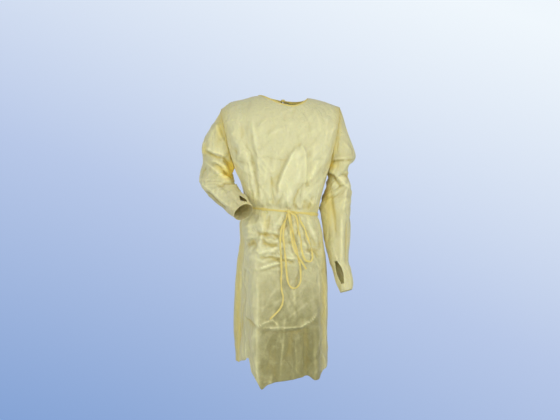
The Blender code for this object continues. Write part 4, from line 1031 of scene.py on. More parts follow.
def gather_heights(gathers, across, away, seed):
    """Small gathers running out of the tied waist, uneven in length and height."""
    count, shortest, longest, height = gathers
    draw = np.random.default_rng(seed)
    low, high = across.min(), across.max()
    total = np.zeros_like(across)
    for number in range(count):
        middle = low + (high - low) * (number + draw.uniform(0.1, 0.9)) / count
        length = draw.uniform(shortest, longest)
        lean, width = draw.normal() * 0.16, draw.uniform(0.0030, 0.0058)
        peak = height * draw.uniform(0.4, 1.3) * (1 if number % 2 else -1)
        spread = width * (1 + 1.2 * away / length)
        off = (across - middle - lean * away) / spread
        total += peak * folded(off) * ease(1 - away / length)
    return total


def softly_held(height, highest, deepest):
    """Keeps ridges and troughs within their limits without a hard edge."""
    limit = np.where(height > 0, highest, deepest)
    return limit * np.tanh(height / limit)


def seam_puckers(run, distance, seed):
    """Uneven puckers drawn up along a seam, fading away from it."""
    draw = np.random.default_rng(seed)
    waves = sum(
        np.sin(run / pitch * 2 * math.pi + draw.uniform(0, 6.28)) * size
        for pitch, size in PUCKERS
    )
    return PUCKER_HEIGHT * waves * np.exp(-((distance / PUCKER_REACH) ** 1.3))


# ---------------------------------------------------------------- marks on the cloth: doubled cloth, painted light and painted shade
def seam_shade(distance, x, z):
    """Doubled cloth beside a seam, as uneven as a hand-fed allowance."""
    waver = 0.0016 * (np.sin(x * 130 + z * 61) + np.sin(z * 173 - x * 47))
    return SEAM_DEEPER * ease((SEAM_SHOWS + waver - distance) / 0.0025)


def painted_shade_front(x):
    """How much painted shade of the dark inside lies on the skirt, as seen from the front."""
    rising = DARK_AT_SIDE + sum(
        share * ease((x - start) / width) for start, width, share in DARK_RISES
    )
    return rising * (1 - 0.5 * ease((x - 0.120) / 0.03))


def painted_shade_back(x):
    """The same painted shade for the backs, alike all over."""
    return BACK_DARK + np.zeros_like(x)


def cloth_marks(fine, points, edge, sewn, lines, painted_inside_shade):
    """A cloth's marks: how deep its yellow is, from doubled cloth, painted shade and painted
    reflection; its painted light and shade; and the painted shade of the dark inside.
    """
    x, z = points[..., 0], points[..., 2]
    # Deeper yellow: painted shade in troughs and on inward crease lines, a painted reflection near
    # seams, and the doubled allowance at seams.
    deep = TROUGH_DEEPER * ease(-(fine + 0.0018) / 0.0075)
    deep = deep + EDGE_DEEPER * bell(edge / EDGE_REACH)
    deep = np.maximum(deep, sewn) + LINE_DEEPER * np.clip(-lines, 0, 1)
    # Painted highlights and shade along the crease lines.
    bright = lines.copy()
    # Painted glow and painted shade at the listed places.
    for middle_x, middle_z, reach_x, reach_z, deeper, brighter in PAINTED_LIGHT_PLACES:
        off = ((x - middle_x) / reach_x) ** 2 + ((z - middle_z) / reach_z) ** 2
        deep += deeper * np.exp(-off)
        bright += brighter * np.exp(-off)
    return np.stack([deep, bright, painted_inside_shade], axis=-1)


# ---------------------------------------------------------------- making meshes
def refined(grid, times, closed=False):
    """A grid with more columns on a smooth curve through the ones it has."""
    if closed:
        padded = np.concatenate([grid[-1:], grid, grid[:2]])
    else:
        first, last = 2 * grid[:1] - grid[1:2], 2 * grid[-1:] - grid[-2:-1]
        padded = np.concatenate([first, grid, last])
    spans = len(padded) - 3
    a, b, c, d = (padded[k : k + spans] for k in range(4))
    steps = []
    for t in np.arange(times) / times:
        curve = 2 * b + (c - a) * t + (2 * a - 5 * b + 4 * c - d) * t**2
        steps.append((curve + (3 * b - a - 3 * c + d) * t**3) / 2)
    fine = np.stack(steps, axis=1).reshape(spans * times, *grid.shape[1:])
    return fine if closed else np.concatenate([fine, grid[-1:]])


def linked(name, data):
    """An object for a mesh, a light or the camera, in the scene."""
    made = bpy.data.objects.new(name, data)
    bpy.context.scene.collection.objects.link(made)
    return made


def link_mesh(name, points, faces, uv, finish):
    """A piece's object from its points, its faces and a flat place per corner."""
    mesh = bpy.data.meshes.new(name)
    mesh.from_pydata(points.reshape(-1, 3).tolist(), [], faces)
    layer = mesh.uv_layers.new(name="flat")
    layer.data.foreach_set("uv", np.asarray(uv, np.float32).ravel())
    mesh.materials.append(finish)
    mesh.shade_smooth()
    return linked(name, mesh)


def grid_quads(columns, rows, closed):
    """Corners of a grid's quads, and the same with the closing column kept apart."""
    spans = columns if closed else columns - 1
    i, j = np.meshgrid(np.arange(spans), np.arange(rows - 1), indexing="ij")
    i, j = i.ravel(), j.ravel()
    k = i + 1
    apart = np.stack([i * rows + j, i * rows + j + 1, k * rows + j + 1, k * rows + j], 1)
    quads = apart % (columns * rows) if closed else apart
    return quads, apart, i, j


def end_caps(columns, rows):
    """The polygons that close a tube's grid at its first and its last row."""
    first = [k * rows for k in reversed(range(columns))]
    last = [k * rows + rows - 1 for k in range(columns)]
    return [first, last]


def turned_edges(points, normals, shade, *edges):
    """Adds the allowance that sewn edges turn to the inside. An edge is the axis that
    it ends, and whether it is that axis's last line."""
    for axis, is_last in edges:
        line, next_line = ([-1], [-2]) if is_last else ([0], [1])
        here, normal = (np.take(grid, line, axis=axis) for grid in (points, normals))
        back = unit(np.take(points, next_line, axis=axis) - here)
        run = lengths_along(here, 1 - axis)
        total = np.take(run, [-1], axis=1 - axis)
        from_corner = np.minimum(run, total - run) - CORNER_PLAIN
        room = (LEAST_TURN + (1 - LEAST_TURN) * ease(from_corner / CORNER_ROOM))[..., None]
        turned = [
            here + (back * set_in - normal * depth) * room for depth, set_in in SEAM_TURN
        ]
        marks = np.ones_like(np.take(shade, [0], axis=axis))
        marks[..., 1] = 0.0
        grids = []
        for grid, added in (
            (points, turned),
            (normals, [normal] * len(SEAM_TURN)),
            (shade, [marks] * len(SEAM_TURN)),
        ):
            parts = [grid, *added] if is_last else [*added[::-1], grid]
            grids.append(np.concatenate(parts, axis=axis))
        points, normals, shade = grids
    return points, shade


def cloth_sheet(name, points, shade, finish, closed=False, open_cells=None):
    """A sheet of cloth, SHEET thick, on a grid of points; shade marks doubled cloth, painted shade
    and painted highlights.
    """
    columns, rows = points.shape[:2]
    quads, apart, i, j = grid_quads(columns, rows, closed)
    wrapped = np.concatenate([points, points[:1]]) if closed else points
    across = lengths_along(wrapped, 0).mean(axis=1, keepdims=True)
    down = lengths_along(wrapped, 1).mean(axis=0, keepdims=True)
    flat = np.stack(np.broadcast_arrays(across, down), -1).reshape(-1, 2)
    if open_cells is not None:
        kept = ~open_cells[i, j]
        quads, apart = quads[kept], apart[kept]
    used, quads = np.unique(quads, return_inverse=True)
    quads = quads.reshape(-1, 4).tolist()
    made = link_mesh(name, points.reshape(-1, 3)[used], quads, flat[apart], finish)
    for mark, label in enumerate(("doubled_and_painted_shade", "painted_light_and_shade", "painted_inside_shade")):
        layer = made.data.attributes.new(label, "FLOAT", "POINT")
        values = shade[..., mark].reshape(-1)[used]
        layer.data.foreach_set("value", values.astype(np.float32))
    wall = made.modifiers.new("thickness", "SOLIDIFY")
    wall.thickness = SHEET
    wall.offset = 0.0
    wall.use_even_offset = False
    wall.use_quality_normals = True
    return made


# ---------------------------------------------------------------- cloth pieces
def fine_rows(share, front):
    """Heights of a panel's fine rows at each share: neck or shoulder down to hem."""
    x_top = section_x(share, np.full_like(share, SHOULDER_Z))
    drop = NECK_DROP_FRONT if front else NECK_DROP_BACK
    top = shoulder_height(share) - drop * neck_profile(x_top)
    low = joined(
        np.linspace(UNDERARM_Z, BELT_Z, BODICE_ROWS + 1),
        np.linspace(BELT_Z, HEM_Z, SKIRT_ROWS + 1),
    )[1:]
    yoke = np.linspace(0, 1, YOKE_ROWS + 1)
    above = top[:, None] + (UNDERARM_Z - top)[:, None] * yoke
    return np.hstack([above, np.repeat(low[None, :], len(share), axis=0)])


def distance_round(points):
    """Distance of each column round the skirt from the centre line, in metres."""
    row = np.argmin(np.abs(points[0, :, 2] - SKIRT_Z))
    run = lengths_along(points[:, row], 0)
    return run - np.interp(0, *zip(*sorted(zip(points[:, row, 0], run))))


def panel_relief(points, z, creases, crumples, gathers, seed):
    """Heights of a panel's creases and gathers, flattened under the waist tie."""
    across = np.repeat(distance_round(points)[:, None], points.shape[1], axis=1)
    away = away_from_tie(z)
    height, lines = crease_heights(creases, points[..., 0], points[..., 2])
    crumpled, marked = crumple_heights(crumples, across, z, seed)
    clear = ease(away / CREASE_CLEAR)
    gathered = gather_heights(gathers, across, away, seed + 1)
    gathered = gathered * ease(away / GATHER_START + 0.15)
    return CREASED * (height + crumpled) * clear + gathered, (lines + marked) * clear


def under_bow(x, z):
    """1 where the bow and its ends lie over the front, fading to 0 beside them."""
    middle, half, lowest = BOW_SPREAD
    wide = ease((half - np.abs(x - middle)) / 0.030)
    return wide * ease((BELT_Z + 0.020 - z) / 0.020) * ease((z - lowest) / 0.015)


def sewn_panel(name, points, z, tables, seed, finish, outward, highest, calm, painted_inside_shade):
    """A panel's cloth from its folded grid: creased, and its seams puckered and turned.

    The front is sewn at both sides, a back only at its first column.
    """
    fine, lines = panel_relief(points, z, *tables, seed)
    side, top = lengths_along(points, 0), lengths_along(points, 1)
    front = name == "front_cloth"
    if front:
        side = np.minimum(side, side[-1:] - side)
    fine = softly_held(fine, highest, DEEPEST) * calm
    fine *= ease(side / SIDE_CALM) * ease(top / TOP_CALM)
    fine += seam_puckers(top, side, 12) * ease(away_from_tie(z) / PUCKER_CLEAR)
    sewn_top = np.abs(points[:, :1, 0]) > NECK_HALF
    fine += seam_puckers(lengths_along(points, 0), top, 13) * sewn_top
    normals = grid_normals(points) * outward
    points = points + normals * fine[..., None]
    for line, beside in ((0, 1), (-1, -2)) if front else ((0, 1),):
        points[line] += unit(points[beside] - points[line]) * SEAM_PULL
    points[:, 0] += unit(points[:, 1] - points[:, 0]) * SEAM_PULL
    top_edge = points[:, 0].copy()
    seams = np.minimum(side, np.where(sewn_top, top, 1.0))
    x = points[..., 0]
    shade = cloth_marks(fine, points, side, seam_shade(seams, x, z), lines, painted_inside_shade(x))
    if front:
        normals = grid_normals(points)
        edges = ((0, False), (0, True), (1, False))
    else:
        edges = ((0, False), (1, False))
    points, shade = turned_edges(points, normals, shade, *edges)
    return cloth_sheet(name, points, shade, finish), top_edge


def front_cloth(finish):
    """The front, from the wearer's right side seam to the left, and its neck edge."""
    ends = (-1, share_at(-NECK_HALF, SHOULDER_Z), share_at(NECK_HALF, SHOULDER_Z), 1)
    share = joined(*(
        even_shares(a, b, count, True)
        for a, b, count in zip(ends, ends[1:], FRONT_COLUMNS)
    ))
    z = fine_rows(share, front=True)
    wide = np.repeat(share[:, None], z.shape[1], axis=1)
    points = body_surface(wide, z, front=True)
    points[..., 2] += hem_shift(wide * 90.0, z)
    lift = relief(FRONT_FOLDS, wide, wide * 90.0, points[..., 0], z)
    lift *= ease((z[:, :1] - z) / TOP_FADE)
    points = points + grid_normals(points) * lift[..., None]
    highest = HIGHEST + (TIED_HIGHEST - HIGHEST) * under_bow(points[..., 0], z)
    tables = (FRONT_CREASES, FRONT_CRUMPLES, FRONT_GATHERS)
    made, edge = sewn_panel("front_cloth", points, z, tables, 11, finish, 1.0,
                            highest, 1.0, painted_shade_front)
    return made, edge[FRONT_COLUMNS[0] - 1 : sum(FRONT_COLUMNS[:2]) - 1]


def back_cloth(left, finish):
    """A back, from its side seam to the free edge past the centre, and its neck edge."""
    sign = 1.0 if left else -1.0
    base = fine_rows(np.zeros(1), front=False)[0]
    past = smooth_curve(BACK_LAP, 1, base)
    own, other = (2, 1) if left else (1, 2)
    half = np.where(past > 0, *section(base, other, own))
    turn = np.arcsin((np.abs(past) / half) ** (SQUARENESS / 2))
    end = -np.sign(past) * 2 / math.pi * turn
    neck = (1 - abs(share_at(sign * NECK_HALF, SHOULDER_Z))) / (1 - end[0])
    low = end[-1]
    beside = even_shares(1, 1 + (low - 1) * neck, BACK_COLUMNS[0], False)
    across = even_shares(1 + (low - 1) * neck, low, BACK_COLUMNS[1], False)
    reach = (1 - joined(beside, across)) / (1 - low)
    wide = sign * (1 + (end[None, :] - 1) * reach[:, None])
    z = fine_rows(wide[:, 0], front=False)
    points = body_surface(wide, z, front=False)
    angle = np.where(wide < 0, -180.0, 180.0) - wide * 90.0
    points[..., 2] += hem_shift(angle, z)
    lift = relief(BACK_FOLDS, wide, angle, points[..., 0], z)
    lift *= ease((z[:, :1] - z) / TOP_FADE)
    layer = lap_layer(points[..., 0], z, left)
    points = points + grid_normals(points) * (sign * (lift + layer))[..., None]
    lapped = ease((np.abs(layer) - 0.0005) / 0.002)
    calm = (1 - lapped * LAPPED_CALM) * (1 - lapped * (0.0 if left else UNDER_CALM))
    tables = (BACK_CREASES, BACK_CRUMPLES, BACK_GATHERS)
    name, seed = ("back_cloth_left", 21) if left else ("back_cloth_right", 31)
    made, edge = sewn_panel(name, points, z, tables, seed, finish, sign,
                            HIGHEST, calm, painted_shade_back)
    return made, edge[BACK_COLUMNS[0] :]


def sleeve_cloth(left, finish):
    """A sleeve, tube from the armhole to the cuff, open over the thumb."""
    coarse = sleeve_points(left)
    dropped = thumb_opening(coarse, THUMB_LEFT if left else THUMB_RIGHT)
    if not left:
        dropped = {((SLEEVE_COLUMNS - 2 - i) % SLEEVE_COLUMNS, j) for i, j in dropped}
        coarse = coarse[::-1]
    columns, rows = SLEEVE_FINER
    points = refined(coarse, columns, closed=True)
    points = refined(points.swapaxes(0, 1), rows).swapaxes(0, 1)
    open_cells = np.zeros(points.shape[:2], bool)
    for i, j in dropped:
        open_cells[i * columns : (i + 1) * columns, j * rows : (j + 1) * rows] = True
    normals = grid_normals(np.concatenate([points[-1:], points, points[:1]]))[1:-1]
    if np.sum(normals * (points - points.mean(axis=0))) < 0:
        normals = -normals
    facing = -normals[..., 1]
    fine, lines = np.zeros_like(facing), np.zeros_like(facing)
    tables = SLEEVE_LEFT_CREASES, SLEEVE_LEFT_BACK_CREASES
    if not left:
        tables = SLEEVE_RIGHT_CREASES, SLEEVE_RIGHT_BACK_CREASES
    for table, seen in zip(tables, (facing, -facing)):
        heights, painted_light_and_shade = crease_heights(table, points[..., 0], points[..., 2])
        share = ease(seen / 0.5 + 0.1)
        fine += SLEEVE_CREASED * heights * share
        lines += painted_light_and_shade * share
    across, run = lengths_along(points, 0), lengths_along(points, 1)
    around, down = np.broadcast_arrays(
        across.mean(axis=1, keepdims=True), run.mean(axis=0, keepdims=True)
    )
    ring = around[-1, 0] + GRID_STEP
    seed = 41 if left else 51
    for shift in (-ring, 0, ring):
        crumpled, marked = crumple_heights(SLEEVE_CRUMPLES, around + shift, down, seed)
        fine, lines = fine + crumpled, lines + marked
    fine = softly_held(fine, SLEEVE_HIGHEST, SLEEVE_DEEPEST) * ease(run / SIDE_CALM)
    fine += seam_puckers(across, run, seed + 2)
    fine *= 1 - CUFF_CALM * ease((run - run[:, -1:]) / CUFF_REACH + 1)
    points = points + normals * fine[..., None]
    sewn = seam_shade(run, around, down)
    shade = cloth_marks(fine, points, run, sewn, lines, np.zeros_like(lines))
    shade[..., 0] += SLEEVE_DEEPER
    shade[..., 1] -= SLEEVE_DARKER
    points, shade = turned_edges(points, normals, shade, (1, False))
    open_cells = np.pad(open_cells, ((0, 0), (len(SEAM_TURN), 0)))
    name = "sleeve_cloth_left" if left else "sleeve_cloth_right"
    return cloth_sheet(name, points, shade, finish, closed=True, open_cells=open_cells)


# ---------------------------------------------------------------- tapes and knots
def tape_line(route, face, entries=()):
    """A tape's smooth line over the cloth and the way its flat side looks."""
    route = np.array(route)
    run = np.append(0, np.cumsum(np.hypot(*np.diff(route[:, :2], axis=0).T)))
    table = np.column_stack([run, route])
    at = np.linspace(0, run[-1], int(run[-1] / TAPE_FINE) + 2)
    x, z, off = (smooth_curve(table, column, at) for column in (1, 2, 3))
    points, facing = face(x, z)
    path = eased(points + facing * off[:, None])
    for end, entry in entries:
        steps = np.linspace(0, 1, ENTRY_STEPS + 1)[1:, None]
        reach = path[end] + (np.array(entry) - path[end]) * steps
        same = [facing[[end]]] * ENTRY_STEPS
        if end == 0:
            path = np.concatenate([reach[::-1], path])
            facing = np.concatenate([*same, facing])
        else:
            path = np.concatenate([path, reach])
            facing = np.concatenate([facing, *same])
    return path, unit(facing)


def eased(path):
    """A path that bridges small folds, with its ends where they were."""
    for _ in range(TAPE_EASING):
        path[1:-1] += (path[:-2] + path[2:] - 2 * path[1:-1]) * 0.25
    return path


def tape_section(count=20):
    """Corners of a folded strip's section: flat, with soft folds at its two edges."""
    turn = np.linspace(0, 2 * math.pi, count, endpoint=False)
    wide = np.sign(np.cos(turn)) * np.abs(np.cos(turn)) ** 0.45
    thick = np.sign(np.sin(turn)) * np.abs(np.sin(turn)) ** 0.75
    thick -= 0.34 * bell((wide - 0.55) / 0.10) * (thick > 0)
    return wide / 2, thick / 2


def tape(
    name, path, facing, finish, width, thick, seed,
    closed=False, ripple=1.0, twist=0.16, flare=1.0,
):
    """A folded strip along a path, uneven in width and twisting as it goes."""
    draw = np.random.default_rng(seed)
    if closed:
        ahead = unit(np.roll(path, -1, axis=0) - np.roll(path, 1, axis=0))
    else:
        ahead = unit(np.gradient(path, axis=0))
    run = lengths_along(path, 0)
    across = unit(np.cross(facing, ahead))
    outward = unit(np.cross(ahead, across))
    total = run[-1] + (np.linalg.norm(path[0] - path[-1]) if closed else 0)

    def wander(size, *pitches):
        waves = []
        for pitch in pitches:
            count = max(1, round(total / pitch))
            turn = 2 * math.pi * run / total * count + draw.uniform(0, 6.28)
            waves.append(np.sin(turn))
        return size * sum(waves)

    breadth = width * flare * (1 + wander(0.05 * ripple, 0.021, 0.047))
    lean = wander(twist, 0.060, 0.110)[:, None]
    side = across * np.cos(lean) + outward * np.sin(lean)
    up = outward * np.cos(lean) - across * np.sin(lean)
    wave = wander(0.10 * ripple, 0.009, 0.0155)
    wide, high = tape_section()
    rings = []
    for w, t in zip(wide, high):
        edge = abs(w) * 2 * wave * thick
        rings.append(path + side * (w * breadth)[:, None] + up * (t * thick + edge)[:, None])
    corners, rows = len(wide), len(path)
    quads, apart, _, _ = grid_quads(corners, rows, True)
    turns = np.linspace(0, width * 2.2, corners + 1)
    flat = np.stack(np.meshgrid(turns, run, indexing="ij"), -1).reshape(-1, 2)
    faces, uv = quads[:, ::-1].tolist(), flat[apart[:, ::-1]].reshape(-1, 2)
    if closed:
        first = np.arange(corners) * rows
        last = first + rows - 1
        bridge = np.stack([np.roll(last, -1), np.roll(first, -1), first, last], 1)
        faces += bridge.tolist()
    else:
        faces += [cap[::-1] for cap in end_caps(corners, rows)]
    plain = np.zeros((corners * (4 if closed else 2), 2))
    made = link_mesh(name, np.stack(rings), faces, np.concatenate([uv, plain]), finish)
    return made, path + side * (STITCH_IN * breadth)[:, None] + up * (thick * STITCH_UP)


def knot_body(name, centre, size, finish, turns):
    """A small pulled knot: a core, and the tape wound over it in slanting turns."""
    rings, around = 26, 36
    polar = np.linspace(0.02, math.pi - 0.02, rings)
    turn = np.linspace(0, 2 * math.pi, around, endpoint=False)
    turn, polar = np.meshgrid(turn, polar, indexing="ij")
    slant = polar * 3.2 + 0.9 * np.sin(turn) + 0.35 * np.cos(2 * turn)
    groove = np.abs(np.sin(slant * turns / 2)) ** 0.5
    swell = 0.80 + 0.20 * groove - 0.10 * bell((polar - 1.57) / 0.35)
    ring = np.sin(polar) ** 0.8 * swell
    points = np.stack([
        centre[0] - size[0] * np.cos(polar),
        centre[1] + size[1] * ring * np.cos(turn),
        centre[2] + size[2] * ring * np.sin(turn),
    ], axis=-1)
    faces = grid_quads(around, rings, True)[0].tolist() + end_caps(around, rings)
    flat = np.stack([turn * size[1], polar * size[0]], -1).reshape(-1, 2)
    return link_mesh(name, points, faces, flat[np.concatenate(faces)], finish)


def joined_object(first, *others):
    """Pieces of the same finish made one object."""
    with bpy.context.temp_override(
        active_object=first, selected_editable_objects=[first, *others]
    ):
        bpy.ops.object.join()
    return first


def knot_wrap(centre, size, width, thick, lean, finish, seed):
    """The turn of tape that holds a knot together, over its middle."""
    turn = np.linspace(0, 2 * math.pi, 48, endpoint=False)
    path = np.stack([
        centre[0] + lean * np.sin(turn),
        centre[1] + size[1] * np.cos(turn),
        centre[2] + size[2] * np.sin(turn),
    ], axis=-1)
    facing = unit(path - np.array(centre))
    return tape(
        "knot_turn", path, facing, finish, width, thick, seed, closed=True, ripple=0.4
    )[0]


def waist_line():
    """The drawn-in tie's line round the waist and the way its flat side looks."""
    rings = []
    for start, front in ((-1, True), (1, False)):
        share = even_shares(start, -start, 150, front)
        rings.append(body_surface(share, np.full_like(share, BELT_Z), front)[:-1])
    ring = np.concatenate(rings)
    ahead = unit(np.roll(ring, -1, axis=0) - np.roll(ring, 1, axis=0))
    outward = unit(np.cross(ahead, [0.0, 0.0, 1.0]))
    past = float(smooth_curve(BACK_LAP, 1, BELT_Z))
    layer = lap_layer(ring[:, 0], BELT_Z, True)
    layer *= ease((ring[:, 0] + past + TIE_FADE) / TIE_FADE) * (ring[:, 1] > 0)
    return ring + outward * (TIE_OFF + layer)[:, None], outward


# ---------------------------------------------------------------- nodes
def give(tree, made, inputs):
    """Gives a node's inputs, by name or by _number, a value or a link."""
    for key, value in inputs.items():
        socket = made.inputs[int(key[1:]) if key[0] == "_" else key.replace("_", " ")]
        if isinstance(value, bpy.types.NodeSocket):
            tree.links.new(value, socket)
        else:
            socket.default_value = value


def node(tree, kind, settings=None, **inputs):
    """A node with its settings made and its inputs given a value or a link."""
    made = tree.nodes.new(kind)
    for key, value in (settings or {}).items():
        setattr(made, key, value)
    give(tree, made, inputs)
    return made


def numbered(values):
    return {f"_{number}": value for number, value in enumerate(values)}


def maths(tree, operation, *values):
    """A Math node's result."""
    settings = {"operation": operation}
    return node(tree, "ShaderNodeMath", settings, **numbered(values)).outputs[0]


def scaled(tree, value, times, more):
    """value x times + more"""
    return maths(tree, "MULTIPLY_ADD", value, times, more)


def vector_maths(tree, operation, *values, **named):
    """A Vector Math node's result, a number where that is a length."""
    settings = {"operation": operation}
    made = node(tree, "ShaderNodeVectorMath", settings, **numbered(values), **named)
    return made.outputs["Value" if operation == "LENGTH" else "Vector"]


def noise(tree, place, scale, detail, **more):
    """A Noise Texture node's outputs."""
    return node(
        tree, "ShaderNodeTexNoise", Vector=place, Scale=scale, Detail=detail, **more
    ).outputs


def smooth_range(tree, value, start, stop):
    """0 to 1 as the value goes from start to stop, with soft ends."""
    return node(tree, "ShaderNodeMapRange", {"interpolation_type": "SMOOTHSTEP"},
                Value=value, From_Min=start, From_Max=stop).outputs[0]


def mixed(tree, share, first, second, blend="MIX"):
    """Two colours mixed, or multiplied."""
    return node(tree, "ShaderNodeMix", {"data_type": "RGBA", "blend_type": blend},
                _0=share, _6=first, _7=second).outputs[2]


def coordinates(tree, kind):
    return tree.nodes.new("ShaderNodeTexCoord").outputs[kind]


def new_group(name, kind, inputs, outputs):
    """A node group, its outer inputs and its outer outputs. Each is given a type, or
    the number that it has unless it is set."""
    tree = bpy.data.node_groups.new(name, kind)
    for way, sockets in (("INPUT", inputs), ("OUTPUT", outputs)):
        for label, usual in sockets.items():
            plain = not isinstance(usual, str)
            made = tree.interface.new_socket(
                label, in_out=way, socket_type="NodeSocket" + ("Float" if plain else usual)
            )
            if plain:
                made.default_value = usual
    given, out = tree.nodes.new("NodeGroupInput"), tree.nodes.new("NodeGroupOutput")
    return tree, given.outputs, out


def new_finish(name):
    """A material, its nodes and its shader."""
    made = bpy.data.materials.new(name)
    made.use_nodes = True
    return made, made.node_tree, made.node_tree.nodes["Principled BSDF"]


# ---------------------------------------------------------------- stitches
def stitch_tree():
    """Geometry nodes: a thread stitch at every step along a line of points."""
    tree, given, out = new_group(
        "stitch_run",
        "GeometryNodeTree",
        {"Line": "Geometry", **STITCH_SIZES, "Thread": "Material"},
        {"Stitches": "Geometry"},
    )
    curve = node(tree, "GeometryNodeMeshToCurve", Mesh=given["Line"])
    places = node(tree, "GeometryNodeCurveToPoints", {"mode": "LENGTH"},
                  Curve=curve.outputs["Curve"], Length=given["Stitch Pitch"]).outputs
    thread = node(tree, "GeometryNodeMeshUVSphere", Segments=6, Rings=5, Radius=0.5)
    width = given["Thread Width"]
    size = node(tree, "ShaderNodeCombineXYZ", X=width, Y=width, Z=given["Stitch Length"])
    shaped = node(tree, "GeometryNodeTransform", Geometry=thread.outputs["Mesh"],
                  Scale=size.outputs["Vector"])
    placed = node(tree, "GeometryNodeInstanceOnPoints", Points=places["Points"],
                  Rotation=places["Rotation"], Instance=shaped.outputs["Geometry"])
    real = node(tree, "GeometryNodeRealizeInstances",
                Geometry=placed.outputs["Instances"])
    painted = node(tree, "GeometryNodeSetMaterial", Geometry=real.outputs["Geometry"],
                   Material=given["Thread"])
    give(tree, out, {"Stitches": painted.outputs["Geometry"]})
    return tree


def stitches(name, line, tree, thread, closed=False):
    """A run of thread stitches along a line, as a plain mesh."""
    count = len(line)
    edges = [(k, (k + 1) % count) for k in range(count if closed else count - 1)]
    mesh = bpy.data.meshes.new(name + "_line")
    mesh.from_pydata(line.tolist(), edges, [])
    holder = linked(name + "_line", mesh)
    modifier = holder.modifiers.new("stitches", "NODES")
    modifier.node_group = tree
    for item in tree.interface.items_tree:
        if item.name == "Thread":
            modifier[item.identifier] = thread
    graph = bpy.context.evaluated_depsgraph_get()
    plain = bpy.data.meshes.new_from_object(holder.evaluated_get(graph))
    plain.name = name
    plain.shade_smooth()
    bpy.data.objects.remove(holder)
    return linked(name, plain)


# ---------------------------------------------------------------- finishes
def nonwoven_group():
    """Nonwoven cloth: clouds of denser fibre, fine fibres, and pressed bond points."""
    tree, given, out = new_group(
        "nonwoven_web",
        "ShaderNodeTree",
        {"Flat Place": "Vector", "Place": "Vector", **WEB_SIZES},
        {label: "Float" for label in ("Clouds", "Blotches", "Bonds", "Height")},
    )
    flat, place = given["Flat Place"], given["Place"]
    cloud_rate, blotch_rate, bond_rate = (
        maths(tree, "DIVIDE", 1.0, given[size])
        for size in ("Cloud Size", "Blotch Size", "Bond Spacing")
    )
    clouds = noise(tree, place, cloud_rate, 5.0, Roughness=0.62)["Fac"]
    blotches = noise(tree, place, blotch_rate, 3.0, Roughness=0.55)["Fac"]
    fibres = noise(tree, place, FIBRE_RATE, 2.0, Roughness=0.7, Distortion=1.6)["Fac"]
    stretched = vector_maths(tree, "MULTIPLY", flat, STRAND_RATES)
    strands = noise(tree, stretched, 1.0, 2.0, Distortion=0.8)["Fac"]
    cells = vector_maths(tree, "SCALE", flat, Scale=bond_rate)
    rows = []
    for shift in ((0.0, 0.0, 0.0), (0.5, 0.5, 0.0)):
        moved = vector_maths(tree, "ADD", cells, shift)
        inside = vector_maths(tree, "FRACTION", moved)
        middle = vector_maths(tree, "SUBTRACT", inside, (0.5, 0.5, 0.0))
        oval = vector_maths(tree, "MULTIPLY", middle, (1.0, 1.5, 0.0))
        rows.append(vector_maths(tree, "LENGTH", oval))
    bonds = smooth_range(tree, maths(tree, "MINIMUM", *rows), *BOND_RIM)
    threads = scaled(tree, fibres, 0.5, maths(tree, "MULTIPLY", strands, 0.5))
    height = scaled(tree, bonds, -0.7, threads)
    give(tree, out, {
        "Clouds": clouds, "Blotches": blotches, "Bonds": bonds, "Height": height
    })
    return tree


def crinkle_group():
    """Fine crinkles that handling leaves in paper-like cloth."""
    tree, given, out = new_group(
        "handled_crinkle",
        "ShaderNodeTree",
        {"Place": "Vector", "Facet Size": 0.026},
        {"Height": "Float"},
    )
    rate = maths(tree, "DIVIDE", 1.0, given["Facet Size"])
    bend = noise(tree, given["Place"], 40.0, 2.0)["Color"]
    warp = vector_maths(tree, "SCALE", bend, Scale=0.010)
    moved = vector_maths(tree, "ADD", given["Place"], warp)
    heights = []
    for factor, share, drawn in ((1.0, 0.62, 0.50), (2.2, 0.38, 0.75)):
        squeezed = vector_maths(tree, "MULTIPLY", moved, (1.0, 1.0, drawn))
        finer = maths(tree, "MULTIPLY", rate, factor)
        folds = noise(tree, squeezed, finer, 1.0, Roughness=0.4)["Fac"]
        crest = maths(tree, "ABSOLUTE", scaled(tree, folds, 2.0, -1.0))
        heights.append(maths(tree, "MULTIPLY", crest, share))
    give(tree, out, {"Height": maths(tree, "ADD", *heights)})
    return tree


